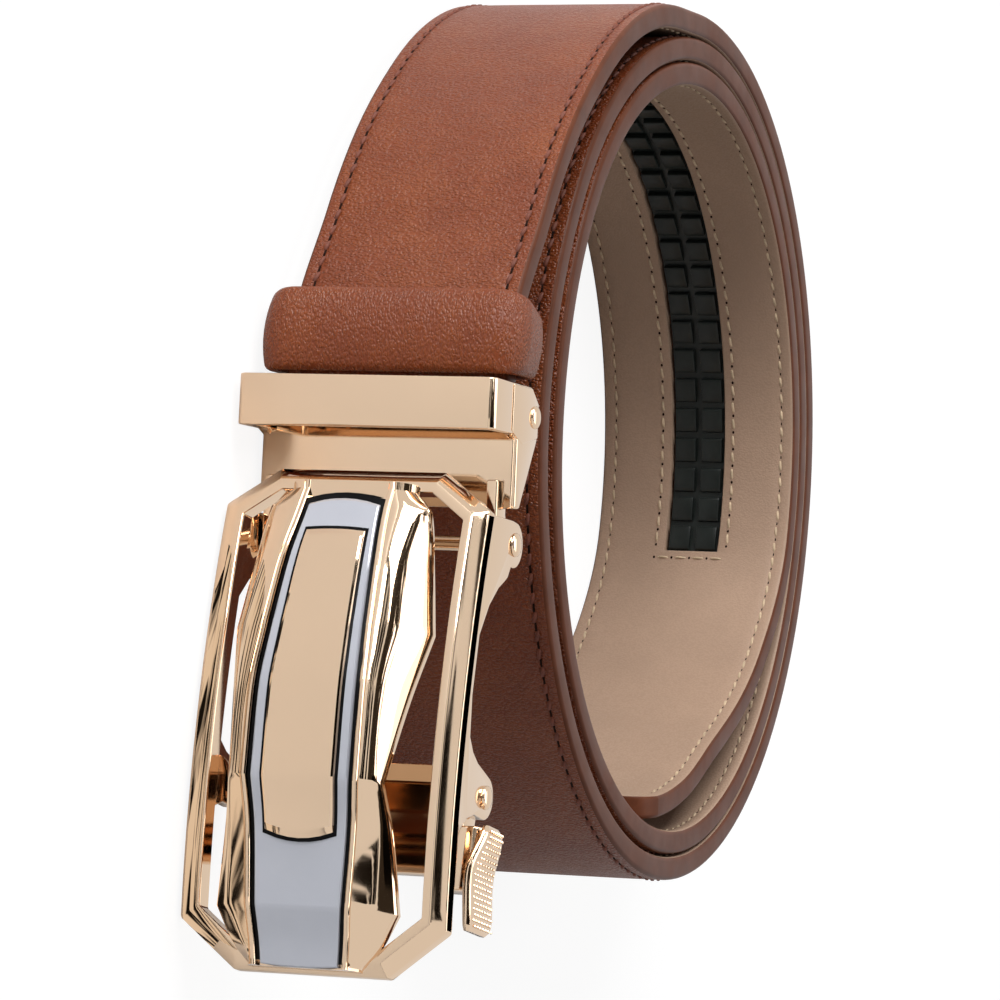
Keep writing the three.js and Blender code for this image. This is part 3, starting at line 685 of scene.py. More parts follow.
def needle_hole_shade_part(length, height, depth, outward, radius):
    """A dark disc sunk in a needle hole: painted shade inside the hole."""
    sides = 8
    rim, inner = [], []
    for side in range(sides):
        angle = 2 * math.pi * side / sides
        station = route().at(length + radius * math.cos(angle))
        rise = radius * 0.85 * math.sin(angle)
        rim.append(route().place(station, depth + outward * 0.05, height + rise))
        inner.append(route().place(station, depth - outward * 0.035, height + rise * 0.8))
    return loft([rim, inner])


def seam_row(start, end, height, depth, outward, slant, thick, chance):
    """Stitches and hole places of one straight seam along the strap."""
    pitch = strap_settings().stitch_pitch
    count = int((end - start) / pitch)
    stitches, holes = [], []
    for i in range(count):
        middle = start + (i + 0.5) * pitch
        rise = slant * chance.uniform(0.6, 1.2)
        stitches.append(Stitch(middle, height + chance.uniform(-0.06, 0.06), pitch - STITCH_GAP,
                               rise, depth, outward, thick))
        holes.append((start + i * pitch, height))
    holes.append((start + count * pitch, height))
    return stitches, holes


def seam_pieces(prefix, stitches, holes, outward, radius, thread):
    """The threads of one side of the strap, and dark discs in its needle holes as painted shade, as
    two pieces.
    """
    verts, faces = join_parts([stitch_part(s) for s in stitches])
    threads = mesh_piece(prefix + "_stitches", verts, faces, "belt", [thread], sharp=80)
    verts, faces = join_parts([needle_hole_shade_part(l, h, d, outward, radius) for l, h, d in holes])
    # Dark discs in the needle holes: painted shade inside them
    dark = mesh_piece(prefix + "_needle_hole_shade", verts, faces, "belt", [needle_hole_shade_material()], sharp=80)


def make_face_seams():
    strap = strap_settings()
    chance = random.Random(11)
    stitches, holes = [], []
    for height in (strap.stitch_inset, strap.width - strap.stitch_inset):
        row, row_holes = seam_row(FACE_SEAM_START, route().length - SEAM_TO_TAIL, height,
                                  GROOVE_DEPTH, 1, FACE_SLANT, FACE_THREAD_SCALE, chance)
        stitches += row
        holes += [(l, h, GROOVE_DEPTH) for l, h in row_holes]
    thread = thread_material("face_thread", strap.face_thread)
    seam_pieces("face", stitches, holes, 1, FACE_HOLE_RADIUS, thread)


def make_lining_seams():
    strap = strap_settings()
    chance = random.Random(12)
    depth = strap.thickness - GROOVE_DEPTH * LINING_GROOVE_SHARE
    flat = strap.thickness
    stitches, holes = [], []
    for height in (strap.stitch_inset, strap.width - strap.stitch_inset):
        row, row_holes = seam_row(LINING_SEAM_START, route().length - SEAM_TO_TAIL, height,
                                  depth, -1, LINING_SLANT, LINING_THREAD_SCALE, chance)
        stitches += row
        holes += [(l, h, depth) for l, h in row_holes]
    start, end = window_span()
    half = WINDOW_WIDTH / 2 + BORDER_OUTSIDE
    for height in (strap.width / 2 - half, strap.width / 2 + half):
        row, row_holes = seam_row(start - BORDER_OUTSIDE, end + BORDER_OUTSIDE, height, flat, -1,
                                  BORDER_SLANT, LINING_THREAD_SCALE, chance)
        stitches += row
        holes += [(l, h, flat) for l, h in row_holes]
    across = BORDER_END_STITCHES
    for length in (start - BORDER_OUTSIDE, end + BORDER_OUTSIDE):
        for i in range(across):
            height = strap.width / 2 + mix(-half, half, (i + 0.5) / across)
            stitches.append(Stitch(length, height, 0.08, 2 * half / across - STITCH_GAP, flat,
                                   -1, LINING_THREAD_SCALE))
            holes.append((length, strap.width / 2 + mix(-half, half, i / across), flat))
    thread = thread_material("lining_thread", strap.lining_thread)
    seam_pieces("lining", stitches, holes, -1, LINING_HOLE_RADIUS, thread)


# Ratchet track

TRACK_SIDE_ROOM = 0.25
TRACK_BASE = 0.6
TOOTH_GROOVE = 1.1
TOOTH_PITCH = 5.5
TOOTH_LENGTH = 4.3


def make_track():
    strap = strap_settings()
    side, groove = TRACK_SIDE_ROOM, TOOTH_GROOVE
    start, end = window_span()
    floor = strap.face_thickness
    base_top = floor + TRACK_BASE
    low = (strap.width - WINDOW_WIDTH) / 2 + side
    lengths = [start + side] + [s.length for s in route().stations
                                if start + 1 < s.length < end - 1] + [end - side]
    verts, faces, _, _ = slab(lengths, [low, strap.width - low], lambda l, h: base_top,
                              lambda l, h: floor + 0.02)
    base = mesh_piece("ratchet_track_base", verts, faces, "belt", [track_plastic()], sharp=30)
    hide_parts("ratchet_track")
    rows = int(WINDOW_LENGTH // TOOTH_PITCH)
    first = (WINDOW_LENGTH - (rows - 1) * TOOTH_PITCH) / 2
    middle = strap.width / 2
    spans = ((low + side, middle - groove / 2), (middle + groove / 2, strap.width - low - side))
    profile = [(-0.5, base_top - 0.1), (0.5, base_top - 0.1), (0.47, base_top + 0.45),
               (0.3, base_top + 0.72), (-0.38, base_top + 1.0), (-0.48, base_top + 0.9)]
    parts = []
    for row in range(rows):
        station = route().at(start + first + row * TOOTH_PITCH)
        for near, far in spans:
            sections = []
            for height in (near, far):
                section = []
                for along, depth in profile:
                    x, y, z = route().place(station, depth, height)
                    step = along * TOOTH_LENGTH
                    section.append((x + step * station.along.x, y + step * station.along.y, z))
                sections.append(section)
            parts.append(loft(sections))
    verts, faces = join_parts(parts)
    teeth = mesh_piece("ratchet_track_teeth", verts, faces, "belt", [track_plastic()], sharp=30)
    bevel_piece(teeth, 0.16, segments=2)


# Loop that keeps the tail

KEEPER_LENGTH = 10.6
KEEPER_WALL = 2.2
KEEPER_ROOM = 4.2
KEEPER_SIDE = 0.7
KEEPER_CORNER = 4.6
KEEPER_TO_CLIP = -0.75
KEEPER_RAISE = 0.55
KEEPER_ROLL = 1.1
KEEPER_CROWN = 0.45


def box_path(half, low, high, radius, steps):
    """A box with round corners in across and outward, as (place, outward direction)."""
    w = half - radius
    corners = [(w, low + radius, -90), (w, high - radius, 0), (-w, high - radius, 90),
               (-w, low + radius, 180)]
    path = []
    for x, y, start in corners:
        for i in range(steps + 1):
            angle = math.radians(start + 90 * i / steps)
            out = Vector((math.cos(angle), math.sin(angle)))
            path.append((Vector((x, y)) + out * radius, out))
    filled = []
    for i, (place, out) in enumerate(path):
        filled.append((place, out))
        after, after_out = path[(i + 1) % len(path)]
        pieces = int((after - place).length / 1.4)
        for k in range(1, pieces):
            t = k / pieces
            filled.append((place.lerp(after, t), out.lerp(after_out, t).normalized()))
    return filled


def make_keeper():
    strap = strap_settings()
    lead = -route().strap_end + route().clip_start
    middle = -lead + 1 + KEEPER_TO_CLIP + KEEPER_LENGTH / 2
    back = -strap.thickness - 0.3
    half = strap.width / 2 + KEEPER_SIDE
    path = box_path(half + KEEPER_WALL, back - KEEPER_WALL, KEEPER_ROOM + KEEPER_WALL,
                    KEEPER_CORNER, 9)
    edge, wall, roll = KEEPER_LENGTH / 2, KEEPER_WALL, KEEPER_ROLL
    ring = []
    for i in range(9):
        share = -1 + i / 4
        ring.append((share * (edge - roll), KEEPER_CROWN * (1 - share * share) + 0.02))
    rolled = [(edge - roll + roll * math.sin(a), -roll + roll * math.cos(a))
              for a in (math.radians(d) for d in (25, 50, 75, 95))]
    profile = [(-x, y) for x, y in reversed(rolled)] + ring + rolled
    profile += [(edge - 0.15, -wall + 0.35), (edge - 0.6, -wall), (-edge + 0.6, -wall),
                (-edge + 0.15, -wall + 0.35)]
    sections, uv = [], []
    travelled = 0.0
    for n, (place, out) in enumerate(path):
        travelled += (place - path[n - 1][0]).length if n else 0
        section = []
        for along, lift in profile:
            spot = place + out * lift
            section.append(route().place(route().at(middle + along), -spot.y,
                                         strap.width / 2 + spot.x + KEEPER_RAISE))
            uv.append((along, travelled))
        sections.append(section)
    sections.append(sections[0])
    uv += uv[:len(profile)]
    verts, faces = loft(sections, caps=False)
    piece = mesh_piece("keeper_loop_leather", verts, faces, "belt", [keeper_leather()], sharp=50,
                       uv=uv)
    weld(piece)
    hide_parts("keeper_loop")


def weld(piece):
    """Joins points that lie on each other."""
    work = bmesh.new()
    work.from_mesh(piece.data)
    bmesh.ops.remove_doubles(work, verts=work.verts, dist=0.001 * MM)
    work.to_mesh(piece.data)
    work.free()


# Clip

CLIP = {
    "half": 20.0, "start": -23.4, "end": -5.2, "bar": 7.5, "bar_thickness": 2.2, "front": 10.4,
    "wall": 1.7, "plate_front": 0.5, "plate_thickness": 1.6, "wall_front": 0.3, "lug_radius": 2.9,
    "lug_thickness": 1.7, "corner": 0.8,
}
JOINT_CLEARANCE = 0.3
PIN_RADIUS, PIN_HEAD_RADIUS = 1.1, 1.75
CLAMP_PIN_RADIUS, CLAMP_PIN_HEAD_RADIUS = 0.7, 1.7
RIVET_HEAD_HEIGHT = 0.7
CLAMP_KNUCKLE = 1.05
CLAMP_END = -6.8


def clip_place():
    return buckle_matrix(0.0)


def gold_part(name, part, matrix, body, bevel, segments=3, material=None):
    """A piece of the buckle, gold unless it names another material."""
    verts, faces = placed(part, matrix)
    piece = mesh_piece(name, verts, faces, body, [material or gold_metal()])
    if bevel:
        bevel_piece(piece, bevel, segments)
    return piece


def bridge_part():
    """The clip's bar and its two short legs as one bent strip."""
    half, front, corner = CLIP["half"], CLIP["front"], CLIP["corner"]
    wall, thick = CLIP["wall"], CLIP["bar_thickness"]
    foot = CLIP["wall_front"] - 0.2
    outer = [(-half, foot), (-half, front - corner), (-half + corner, front),
             (half - corner, front), (half, front - corner), (half, foot)]
    inner = [(half - wall, foot), (half - wall, front - thick - 0.6),
             (half - wall - 0.6, front - thick), (-half + wall + 0.6, front - thick),
             (-half + wall, front - thick - 0.6), (-half + wall, foot)]
    ends = (CLIP["start"], CLIP["start"] + CLIP["bar"])
    return loft([[(a, b, c) for b, c in outer + inner] for a in ends])


def make_clip():
    place = clip_place()
    half, wall = CLIP["half"], CLIP["wall"]
    start, end, front = CLIP["start"], CLIP["end"], CLIP["wall_front"]
    bar_end = start + CLIP["bar"]
    pin_a, pin_c = clamp_pin.x - hinge.x, hinge.y - clamp_pin.y
    plate_back = CLIP["plate_front"] - CLIP["plate_thickness"]
    ear_back = pin_c - 1.6
    bridge = gold_part("clip_bridge", bridge_part(), place, "belt", 0.28)
    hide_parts("clip_body")
    plate = [(start, CLIP["plate_front"]), (end, CLIP["plate_front"]), (end, plate_back),
             (start, plate_back)]
    gold_part("clip_plate", prism(plate, -half + 0.5, half - 0.5), place, "belt", 0.2)
    wall_outline = [(start, front + 1.5), (bar_end, front + 1.5), (bar_end + 0.6, front),
                    (end, front), (end, plate_back - 0.8), (pin_a + 3.4, ear_back),
                    (pin_a - 2.2, ear_back), (start, ear_back + 3)]
    ear = [(start + 0.3, front + 2.6), (bar_end - 0.4, front + 2.6),
           (bar_end + 1.2, plate_back - 0.4), (pin_a + 3.0, ear_back + 0.3),
           (pin_a - 2.0, ear_back + 0.3), (start + 0.3, ear_back + 3.2)]
    lug_outer = buckle_settings().width / 2 - FLANGE_THICKNESS - JOINT_CLEARANCE
    lug = [(end - 4, plate_back), (end + 0.8, plate_back)]
    lug += arc_points(0, 0, CLIP["lug_radius"], -100, 100, 18) + [(end - 4, CLIP["lug_radius"])]
    for side, word in ((-1, "lower"), (1, "upper")):
        low, high = sorted((side * (half - wall), side * half))
        gold_part("clip_wall_" + word, prism(wall_outline, low, high), place, "belt", 0.45)
        low, high = sorted((side * (half - 0.3), side * (half + 0.12)))
        gold_part("clip_ear_" + word, prism(ear, low, high), place, "belt", 0.14)
        low, high = sorted((side * (lug_outer - CLIP["lug_thickness"]), side * lug_outer))
        gold_part("clip_lug_" + word, prism(lug, low, high), place, "belt", 0.25)


def rivet_part(radius, head_radius, half_width):
    """A pin along the second axis with a domed head on each end."""
    face = half_width + 0.05
    profile = [(0.001, face + RIVET_HEAD_HEIGHT)]
    steps = 7
    for i in range(1, steps):
        angle = math.pi / 2 * i / steps
        profile.append((head_radius * math.sin(angle),
                        face + RIVET_HEAD_HEIGHT * math.cos(angle) ** 0.8))
    profile += [(head_radius, face + 0.06), (head_radius, face), (radius, face)]
    profile += [(r, -y) for r, y in reversed(profile)]
    sides = 32
    sections = []
    for side in range(sides + 1):
        angle = 2 * math.pi * side / sides
        sections.append([(r * math.cos(angle), y, r * math.sin(angle)) for r, y in profile])
    return loft(sections, closed=False, caps=False)


def make_pins():
    half = buckle_settings().width / 2
    for name, at, radius, head, half_width, body in (
            ("hinge_pin", hinge, PIN_RADIUS, PIN_HEAD_RADIUS, half, "buckle_head"),
            ("pawl_pin", pawl_pin, PIN_RADIUS, PIN_HEAD_RADIUS, half, "buckle_head"),
            ("clamp_pin", clamp_pin, CLAMP_PIN_RADIUS, CLAMP_PIN_HEAD_RADIUS, CLIP["half"],
             "belt")):
        matrix = Matrix(((1, 0, 0, at.x), (0, 0, -1, at.y), (0, 1, 0, at.z), (0, 0, 0, 1)))
        piece = gold_part(name + "_rivet", rivet_part(radius, head, half_width), matrix, body, 0)
        weld(piece)
        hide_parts(name)


def make_clamp():
    place = clip_place()
    half = strap_settings().width / 2 - 0.2
    pin_a, pin_c = clamp_pin.x - hinge.x, hinge.y - clamp_pin.y
    top = pin_c + CLAMP_KNUCKLE
    outline = arc_points(pin_a, pin_c, CLAMP_KNUCKLE, 90, 270, 12)
    outline += [(pin_a + 2, top - 1.5), (CLAMP_END, top - 1.5), (CLAMP_END, top)]
    flap = gold_part("clamp_flap_plate", prism(outline, -half, half), place, "clamp", 0.2)
    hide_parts("clamp_flap")


# Head

HEAD_OVERLAP = 8.1
HEAD_FRONT = 12.0
RIM_DEPTH = 3.5
TOP_CORNER = (5.6, 7.6)
BOTTOM_CORNER = (6.8, 8.6)
FLANGE_THICKNESS = 1.8
FLANGE_NARROW = 4.6
HINGE_EAR = 3.4
PAWL_EAR = 3.2
TOE_REACH = 3.4
CREASE = 0.64
COLLAR = 0.066
PANEL_START, PANEL_END = 0.145, 0.74
PANEL_START_WIDTH, PANEL_END_WIDTH = 0.7, 0.69
ENAMEL_INSET = 0.6
# The black strips under the band and the panel are painted shade in the grooves beside them; their
# spans and reach are set here.
BAND_GROOVE_SHADE_SPAN, BAND_SPAN = (0.072, 0.985), (0.086, 0.992)
BAND_STEP, PANEL_STEP, SHIELD_STEP = 0.014, 0.012, 0.016
BAND_BOWS, PANEL_BOWS = (-0.9, 0.3), (-0.25, 1.1)
PANEL_GROOVE_SHADE_REACH = 0.007
CLOSEST_SHARES = 0.0035


def pawl_place():
    """Place of the lever's pin in the head's own frame."""
    return 37.2, 1.6


def head_tilt():
    dx, dy = pawl_pin.x - hinge.x, hinge.y - pawl_pin.y
    along, out = pawl_place()
    return math.atan2(dy, dx) - math.atan2(out, along)


def head_place():
    return buckle_matrix(head_tilt())


def rim_top(x):
    buckle = buckle_settings()
    middle = buckle.length / 2 - HEAD_OVERLAP
    return HEAD_FRONT + buckle.arch * (1 - ((x - middle) / (buckle.length / 2)) ** 2)


def octagon(inset, radius, steps=3):
    """The rim's outline moved inward, with small round corners, in along and across."""
    buckle = buckle_settings()
    start, end = -HEAD_OVERLAP, buckle.length - HEAD_OVERLAP
    half = buckle.width / 2
    (ta, tb), (ba, bb) = TOP_CORNER, BOTTOM_CORNER
    corners = [(start, -half + tb), (start + ta, -half), (end - ba, -half), (end, -half + bb),
               (end, half - bb), (end - ba, half), (start + ta, half), (start, half - tb)]
    moved = []
    for i, corner in enumerate(corners):
        p = Vector(corner)
        before = (p - Vector(corners[i - 1])).normalized()
        after = (Vector(corners[(i + 1) % 8]) - p).normalized()
        normal = Vector((-before.y, before.x)) + Vector((-after.y, after.x))
        moved.append(p + normal / (1 + before.dot(after)) * inset)
    points = []
    for i, p in enumerate(moved):
        before = (moved[i - 1] - p).normalized()
        after = (moved[(i + 1) % 8] - p).normalized()
        turn = math.pi - before.angle(after)
        cut = radius * math.tan(turn / 2)
        a, b = p + before * cut, p + after * cut
        points += [quadratic(a, p, b, k / steps) for k in range(steps + 1)]
        following = moved[(i + 1) % 8]
        leave = following + (p - following).normalized() * cut
        pieces = 28 if i in (1, 5) else 5
        points += [b.lerp(leave, k / pieces) for k in range(1, pieces)]
    return points


def quadratic(a, b, c, t):
    """The point at t on the curve from a to c that b pulls on."""
    return a.lerp(b, t).lerp(b.lerp(c, t), t)


def make_rim():
    buckle = buckle_settings()
    bevel, face = buckle.rim_bevel, buckle.rim_face
    depth = RIM_DEPTH
    inner = bevel + face
    rings = [
        (0.0, -depth), (0.0, -1.5), (0.07, -1.32), (bevel - 0.12, -0.09), (bevel + 0.05, 0.0),
        (inner - 0.3, 0.0), (inner - 0.12, -0.05), (inner - 0.02, -0.2), (inner, -0.4),
        (inner, -depth + 0.3), (inner - 0.25, -depth),
    ]
    outlines = []
    for inset, level in rings:
        radius = 0.7 if inset < 1.5 else 0.45
        outlines.append([(p.x, p.y, rim_top(p.x) + level) for p in octagon(inset, radius)])
    sections = [list(section) for section in zip(*outlines)]
    sections.append(sections[0])
    rim = gold_part("buckle_rim", loft(sections, caps=False), head_place(), "buckle_head", 0)
    weld(rim)
    smooth_piece(rim, 30)
    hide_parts("buckle_frame")


def make_flanges():
    buckle = buckle_settings()
    start = -HEAD_OVERLAP + TOP_CORNER[0] + 0.4
    end = buckle.length - HEAD_OVERLAP - BOTTOM_CORNER[0]
    px, pz = pawl_place()
    scallop = []
    for row in SCALLOP:
        narrow = rim_top(px * row["along"]) - FLANGE_NARROW
        scallop.append((px * row["along"], mix(narrow, pz * row["along"], row["depth"])))
    outline = [(x, rim_top(x) - 1.2) for x in spread(start, end, 16)]
    outline += [(end, rim_top(end) - RIM_DEPTH),
                (px + PAWL_EAR + TOE_REACH, rim_top(px) - RIM_DEPTH - 1),
                (px + PAWL_EAR * 1.3, pz + PAWL_EAR * 2.1),
                (px + PAWL_EAR * 0.97, pz + PAWL_EAR * 1.2)]
    outline += arc_points(px, pz, PAWL_EAR, 0, -160, 14) + list(reversed(scallop))
    outline += arc_points(0, 0, HINGE_EAR, 10, -170, 16) + [(-HINGE_EAR * 0.97, HINGE_EAR * 0.5)]
    outer = buckle.width / 2
    for side, word in ((-1, "lower"), (1, "upper")):
        low, high = sorted((side * (outer - FLANGE_THICKNESS), side * outer))
        gold_part("buckle_flange_" + word, prism(outline, low, high), head_place(), "buckle_head",
                  0.3)


def dome_at(share):
    """Half widths and heights of the domed front at a share of the head's length."""
    buckle = buckle_settings()
    half = buckle.width / 2

    def read(column):
        return read_table(DOME, "along", column, share)

    return {
        "x": buckle.length * share - HEAD_OVERLAP,
        "band": half * read("band"),
        "band_top": HEAD_FRONT + buckle.width * read("band_height"),
        "wing": half * read("wing"),
        "wing_top": HEAD_FRONT + buckle.width * read("wing_height"),
    }


def dome_shares(start, end, step):
    """Cross-sections between two shares, with the crease and every row of the table."""
    marks = [start, end, CREASE]
    marks += [row["along"] for row in DOME + WING]
    count = int((end - start) / step)
    marks += [mix(start, end, i / count) for i in range(count)]
    marks = sorted(m for m in marks if start <= m <= end)
    kept = []
    for m in marks:
        if not kept or m - kept[-1] > CLOSEST_SHARES or m == end:
            kept.append(m)
    return kept


def make_shield():
    gap, band = 0.05, 0.8
    shares = dome_shares(0.035, 0.995, SHIELD_STEP)

    def section(share):
        d = dome_at(share)
        rim, top = d["band"] + gap, d["band_top"]
        bed = top - (band + 0.15 if share > COLLAR else 0.04)
        under = bed - 1.1
        wing_at = {key: read_table(WING, "along", key, share)
                   for key in ("lip", "lip_rise", "bulge", "ridge", "ridge_rise")}
        inner_y = rim + 0.95
        inner_z = top - 0.12
        lip_y = mix(inner_y, d["wing"], wing_at["lip"])
        lip_z = min(d["wing_top"] + wing_at["lip_rise"], inner_z - 0.05)
        half = [(rim, bed), (rim, top - 0.08), (rim + 0.08, top + 0.04), (rim + 0.22, top + 0.1),
                (rim + 0.5, top + 0.1), (rim + 0.66, top + 0.05), (rim + 0.78, top - 0.1),
                (rim + 0.85, top - 0.22)]
        across = [0.0, 0.06, 0.14, 0.24, 0.36, 0.48, 0.6, 0.72, 0.83, 0.92, 1.0]
        ridge = wing_at["ridge"]
        for t in across:
            y = mix(inner_y, lip_y, t)
            lift = wing_at["bulge"] * 4 * t * (1 - t)
            tent = t / ridge if t < ridge else (1 - t) / (1 - ridge)
            lift += wing_at["ridge_rise"] * tent
            half.append((y, mix(inner_z, lip_z, t) + lift))
        half += [(mix(lip_y, d["wing"], 0.12), lip_z - 0.1),
                 (d["wing"] - 0.05, d["wing_top"] + 0.1),
                 (d["wing"], d["wing_top"] - 0.1), (d["wing"] - 0.15, d["wing_top"] - 1.5),
                 (d["wing"] - 0.5, d["wing_top"] - 1.7), (rim, min(under, d["wing_top"] - 1.2))]
        full = half + [(-y, z) for y, z in reversed(half)]
        return [(d["x"], y, z) for y, z in full]

    sections = [section(share) for share in shares]
    shield = gold_part("buckle_shield", loft(sections), head_place(), "buckle_head", 0)
    smooth_piece(shield, 22)


def strip_section(x, half, low, top, edge):
    """A strip's cross-section with rounded upper edges."""
    right = [(half, low), (half, top - edge), (half - edge * 0.3, top - edge * 0.3),
             (half - edge, top), (half * 0.6, top), (half * 0.3, top)]
    return [(x, y, z) for y, z in right + [(0, top)] + [(-y, z) for y, z in reversed(right)]]


def bowed(section, half, bow):
    """The section bent along the belt, most at its middle."""
    return [(x + bow * (1 - (y / half) ** 2), y, z) for x, y, z in section]


def end_bows(n, last, start_bow, end_bow, reach=5):
    """How far a strip's cross-section bends, by its number from each end."""
    at_start = smooth_step((reach - n) / reach)
    at_end = smooth_step((n - last + reach) / reach)
    return start_bow * at_start + end_bow * at_end


def dome_strip(start, end, step, width, low, top, edge, start_bow, end_bow):
    """A strip on the dome between two shares; width gives its half width at a share."""
    shares = dome_shares(start, end, step)
    last = len(shares) - 1
    sections = []
    for n, share in enumerate(shares):
        d = dome_at(share)
        half = width(share, d)
        level = d["band_top"]
        section = strip_section(d["x"], half, level + low, level + top, edge)
        if n in (0, last):
            section = [(x, y, min(z, level + top - edge)) for x, y, z in section]
        sections.append(bowed(section, half, end_bows(n, last, start_bow, end_bow)))
    return loft(sections)


def panel_half(share, d):
    """Half width of the panel at a share, from the dome's measures there."""
    t = (share - PANEL_START) / (PANEL_END - PANEL_START)
    return d["band"] * mix(PANEL_START_WIDTH, PANEL_END_WIDTH, min(1, max(0, t)))


def make_band():
    # A black strip under the band that shows in the gaps at its sides: painted shade in the
    # grooves.
    groove_shade = dome_strip(*BAND_GROOVE_SHADE_SPAN, BAND_STEP, lambda share, d: d["band"] - 0.02,
                      -0.9, -0.42, 0.1, *BAND_BOWS)
    gold_part("center_band_groove_shade", groove_shade, head_place(), "buckle_head", 0,
              material=groove_shade_black())
    band = dome_strip(*BAND_SPAN, BAND_STEP, lambda share, d: d["band"] - ENAMEL_INSET,
                      -0.8, -0.02, 0.3, *BAND_BOWS)
    piece = gold_part("center_band_enamel", band, head_place(), "buckle_head", 0,
                      material=enamel())
    smooth_piece(piece, 15)
    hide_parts("center_band")


def make_panel():
    # A black strip under the panel that shows round its edge: painted shade in the groove.
    groove_shade = dome_strip(PANEL_START - PANEL_GROOVE_SHADE_REACH, PANEL_END + PANEL_GROOVE_SHADE_REACH, PANEL_STEP,
                      lambda share, d: panel_half(share, d) + 0.4, -0.1, 0.06, 0.05, *PANEL_BOWS)
    gold_part("center_panel_groove_shade", groove_shade, head_place(), "buckle_head", 0,
              material=groove_shade_black())
    panel = dome_strip(PANEL_START, PANEL_END, PANEL_STEP, panel_half, 0.02, 0.65, 0.45,
                       *PANEL_BOWS)
    piece = gold_part("center_panel_gold", panel, head_place(), "buckle_head", 0)
    smooth_piece(piece, 12)
    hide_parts("center_panel")


# Release pawl and lever

PADDLE_LENGTH = 15.4
PADDLE_THICKNESS = 1.55
GRIP_ROWS, GRIP_COLUMNS = 19, 7
GRIP_DOT_RADIUS, GRIP_DOT_HEIGHT = 0.25, 0.17


def make_pawl():
    px, pz = pawl_place()
    place = head_place()
    half = buckle_settings().width / 2 - FLANGE_THICKNESS - JOINT_CLEARANCE
    bar = [(px - 3.8, pz + 4.2), (px - 3.2, pz), (px - 2.2, pz - 2.4), (px + 2.6, pz - 2.6),
           (px + 11.6, pz - 1.4), (px + 11.6, pz + 1.8), (px + 3.2, pz + 2.6), (px - 1.4, pz + 2.4)]
    piece = gold_part("pawl_bar", prism(bar, -half, half), place, "pawl", 0.3)
    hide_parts("release_pawl")
    outer = buckle_settings().width / 2 + 0.6
    sections = []
    for a in (px + 4.5, px + 13.8):
        section = []
        for b, c in arc_points(0, 0, 1, -90, 90, 10):
            section.append((a, half + 1.4 + b * 1.9, pz + 0.3 + c * 2.6))
        section += [(a, half - 5, pz + 2.6), (a, half - 5, pz - 2.2)]
        sections.append(section)
    gold_part("pawl_arm", loft(sections), place, "pawl", 0.3)
    neck = [(px + 5.2, pz - 1.6), (px + 12.6, pz - 1.4), (px + 12.6, pz + 2.2),
            (px + 5.2, pz + 2.2)]
    gold_part("pawl_neck", prism(neck, half, outer + 0.4), place, "pawl", 0.4)
    make_paddle(px, pz, outer, place)


def paddle_sway(t):
    """How far the thumb plate bends outward along its length."""
    return 1.0 * (1 - smooth_step(t / 0.5)) + 0.55 * smooth_step((t - 0.5) / 0.5) - 0.05


def paddle_top(t):
    """How far the thumb plate stands over the pin along its length."""
    return mix(5.2, 7.9, smooth_step(t * 2.2))


def make_paddle(px, pz, inner, place):
    start = px + 4.5
    sections = []
    for t in spread(0, 1, 22):
        round_end = math.sqrt(max(0.0, 1 - (2 * t - 1) ** 6))
        low = pz - 1.1 - 0.9 * round_end + 0.6 * (1 - round_end)
        high = pz + paddle_top(t) - 0.9 * (1 - round_end)
        b = inner + paddle_sway(t)
        thick = PADDLE_THICKNESS - 0.5 * (1 - round_end) - 0.25
        edge = 0.45
        ring = [(b, low + edge), (b, high - edge), (b + edge, high), (b + thick - edge, high),
                (b + thick, high - edge), (b + thick, low + edge), (b + thick - edge, low),
                (b + edge, low)]
        sections.append([(start + PADDLE_LENGTH * t, y, z) for y, z in ring])
    gold_part("pawl_paddle", loft(sections), place, "pawl", 0.15, segments=2)
    parts = []
    for r in range(1, GRIP_ROWS):
        t = r / GRIP_ROWS
        high = pz + paddle_top(t) - 1.3
        low = pz - 1.2
        for c in range(GRIP_COLUMNS):
            z = mix(low, high, (c + (0.5 if r % 2 else 0.0)) / GRIP_COLUMNS)
            b = inner + paddle_sway(t) + PADDLE_THICKNESS - 0.25
            parts.append(bead_part(start + PADDLE_LENGTH * t, b, z, GRIP_DOT_RADIUS,
                                   GRIP_DOT_HEIGHT))
    gold_part("paddle_grip", join_parts(parts), place, "pawl", 0)


def bead_part(a, b, c, radius, height):
    """A small dome that stands on a plate across the belt."""
    sides = 8
    sections = []
    for ring, lift in ((1.0, -0.06), (0.8, 0.55 * height), (0.35, height)):
        sections.append([(a + radius * ring * math.cos(2 * math.pi * s / sides), b + lift,
                          c + radius * ring * math.sin(2 * math.pi * s / sides))
                         for s in range(sides)])
    return loft(sections)


# Materials


def socket(tree, name, in_out, kind, default=None):
    made = tree.interface.new_socket(name=name, in_out=in_out, socket_type=kind)
    if default is not None:
        made.default_value = default
    return made


def node(tree, kind, **values):
    """A shader node with its properties and unlinked inputs set."""
    made = tree.nodes.new(kind)
    for key, value in values.items():
        if hasattr(made, key):
            setattr(made, key, value)
        else:
            made.inputs[key.replace("_", " ")].default_value = value
    return made


def group(name, inputs, outputs):
    """A new node group with its sockets, and its input and output nodes."""
    tree = bpy.data.node_groups.new(name, "ShaderNodeTree")
    for key, kind, default in inputs:
        socket(tree, key, "INPUT", kind, default)
    for key, kind in outputs:
        socket(tree, key, "OUTPUT", kind)
    return tree, tree.nodes.new("NodeGroupInput"), tree.nodes.new("NodeGroupOutput")


def ramp(tree, low, high):
    """Maps values between low and high to 0 and 1."""
    made = node(tree, "ShaderNodeMapRange")
    made.inputs["From Min"].default_value = low
    made.inputs["From Max"].default_value = high
    return made


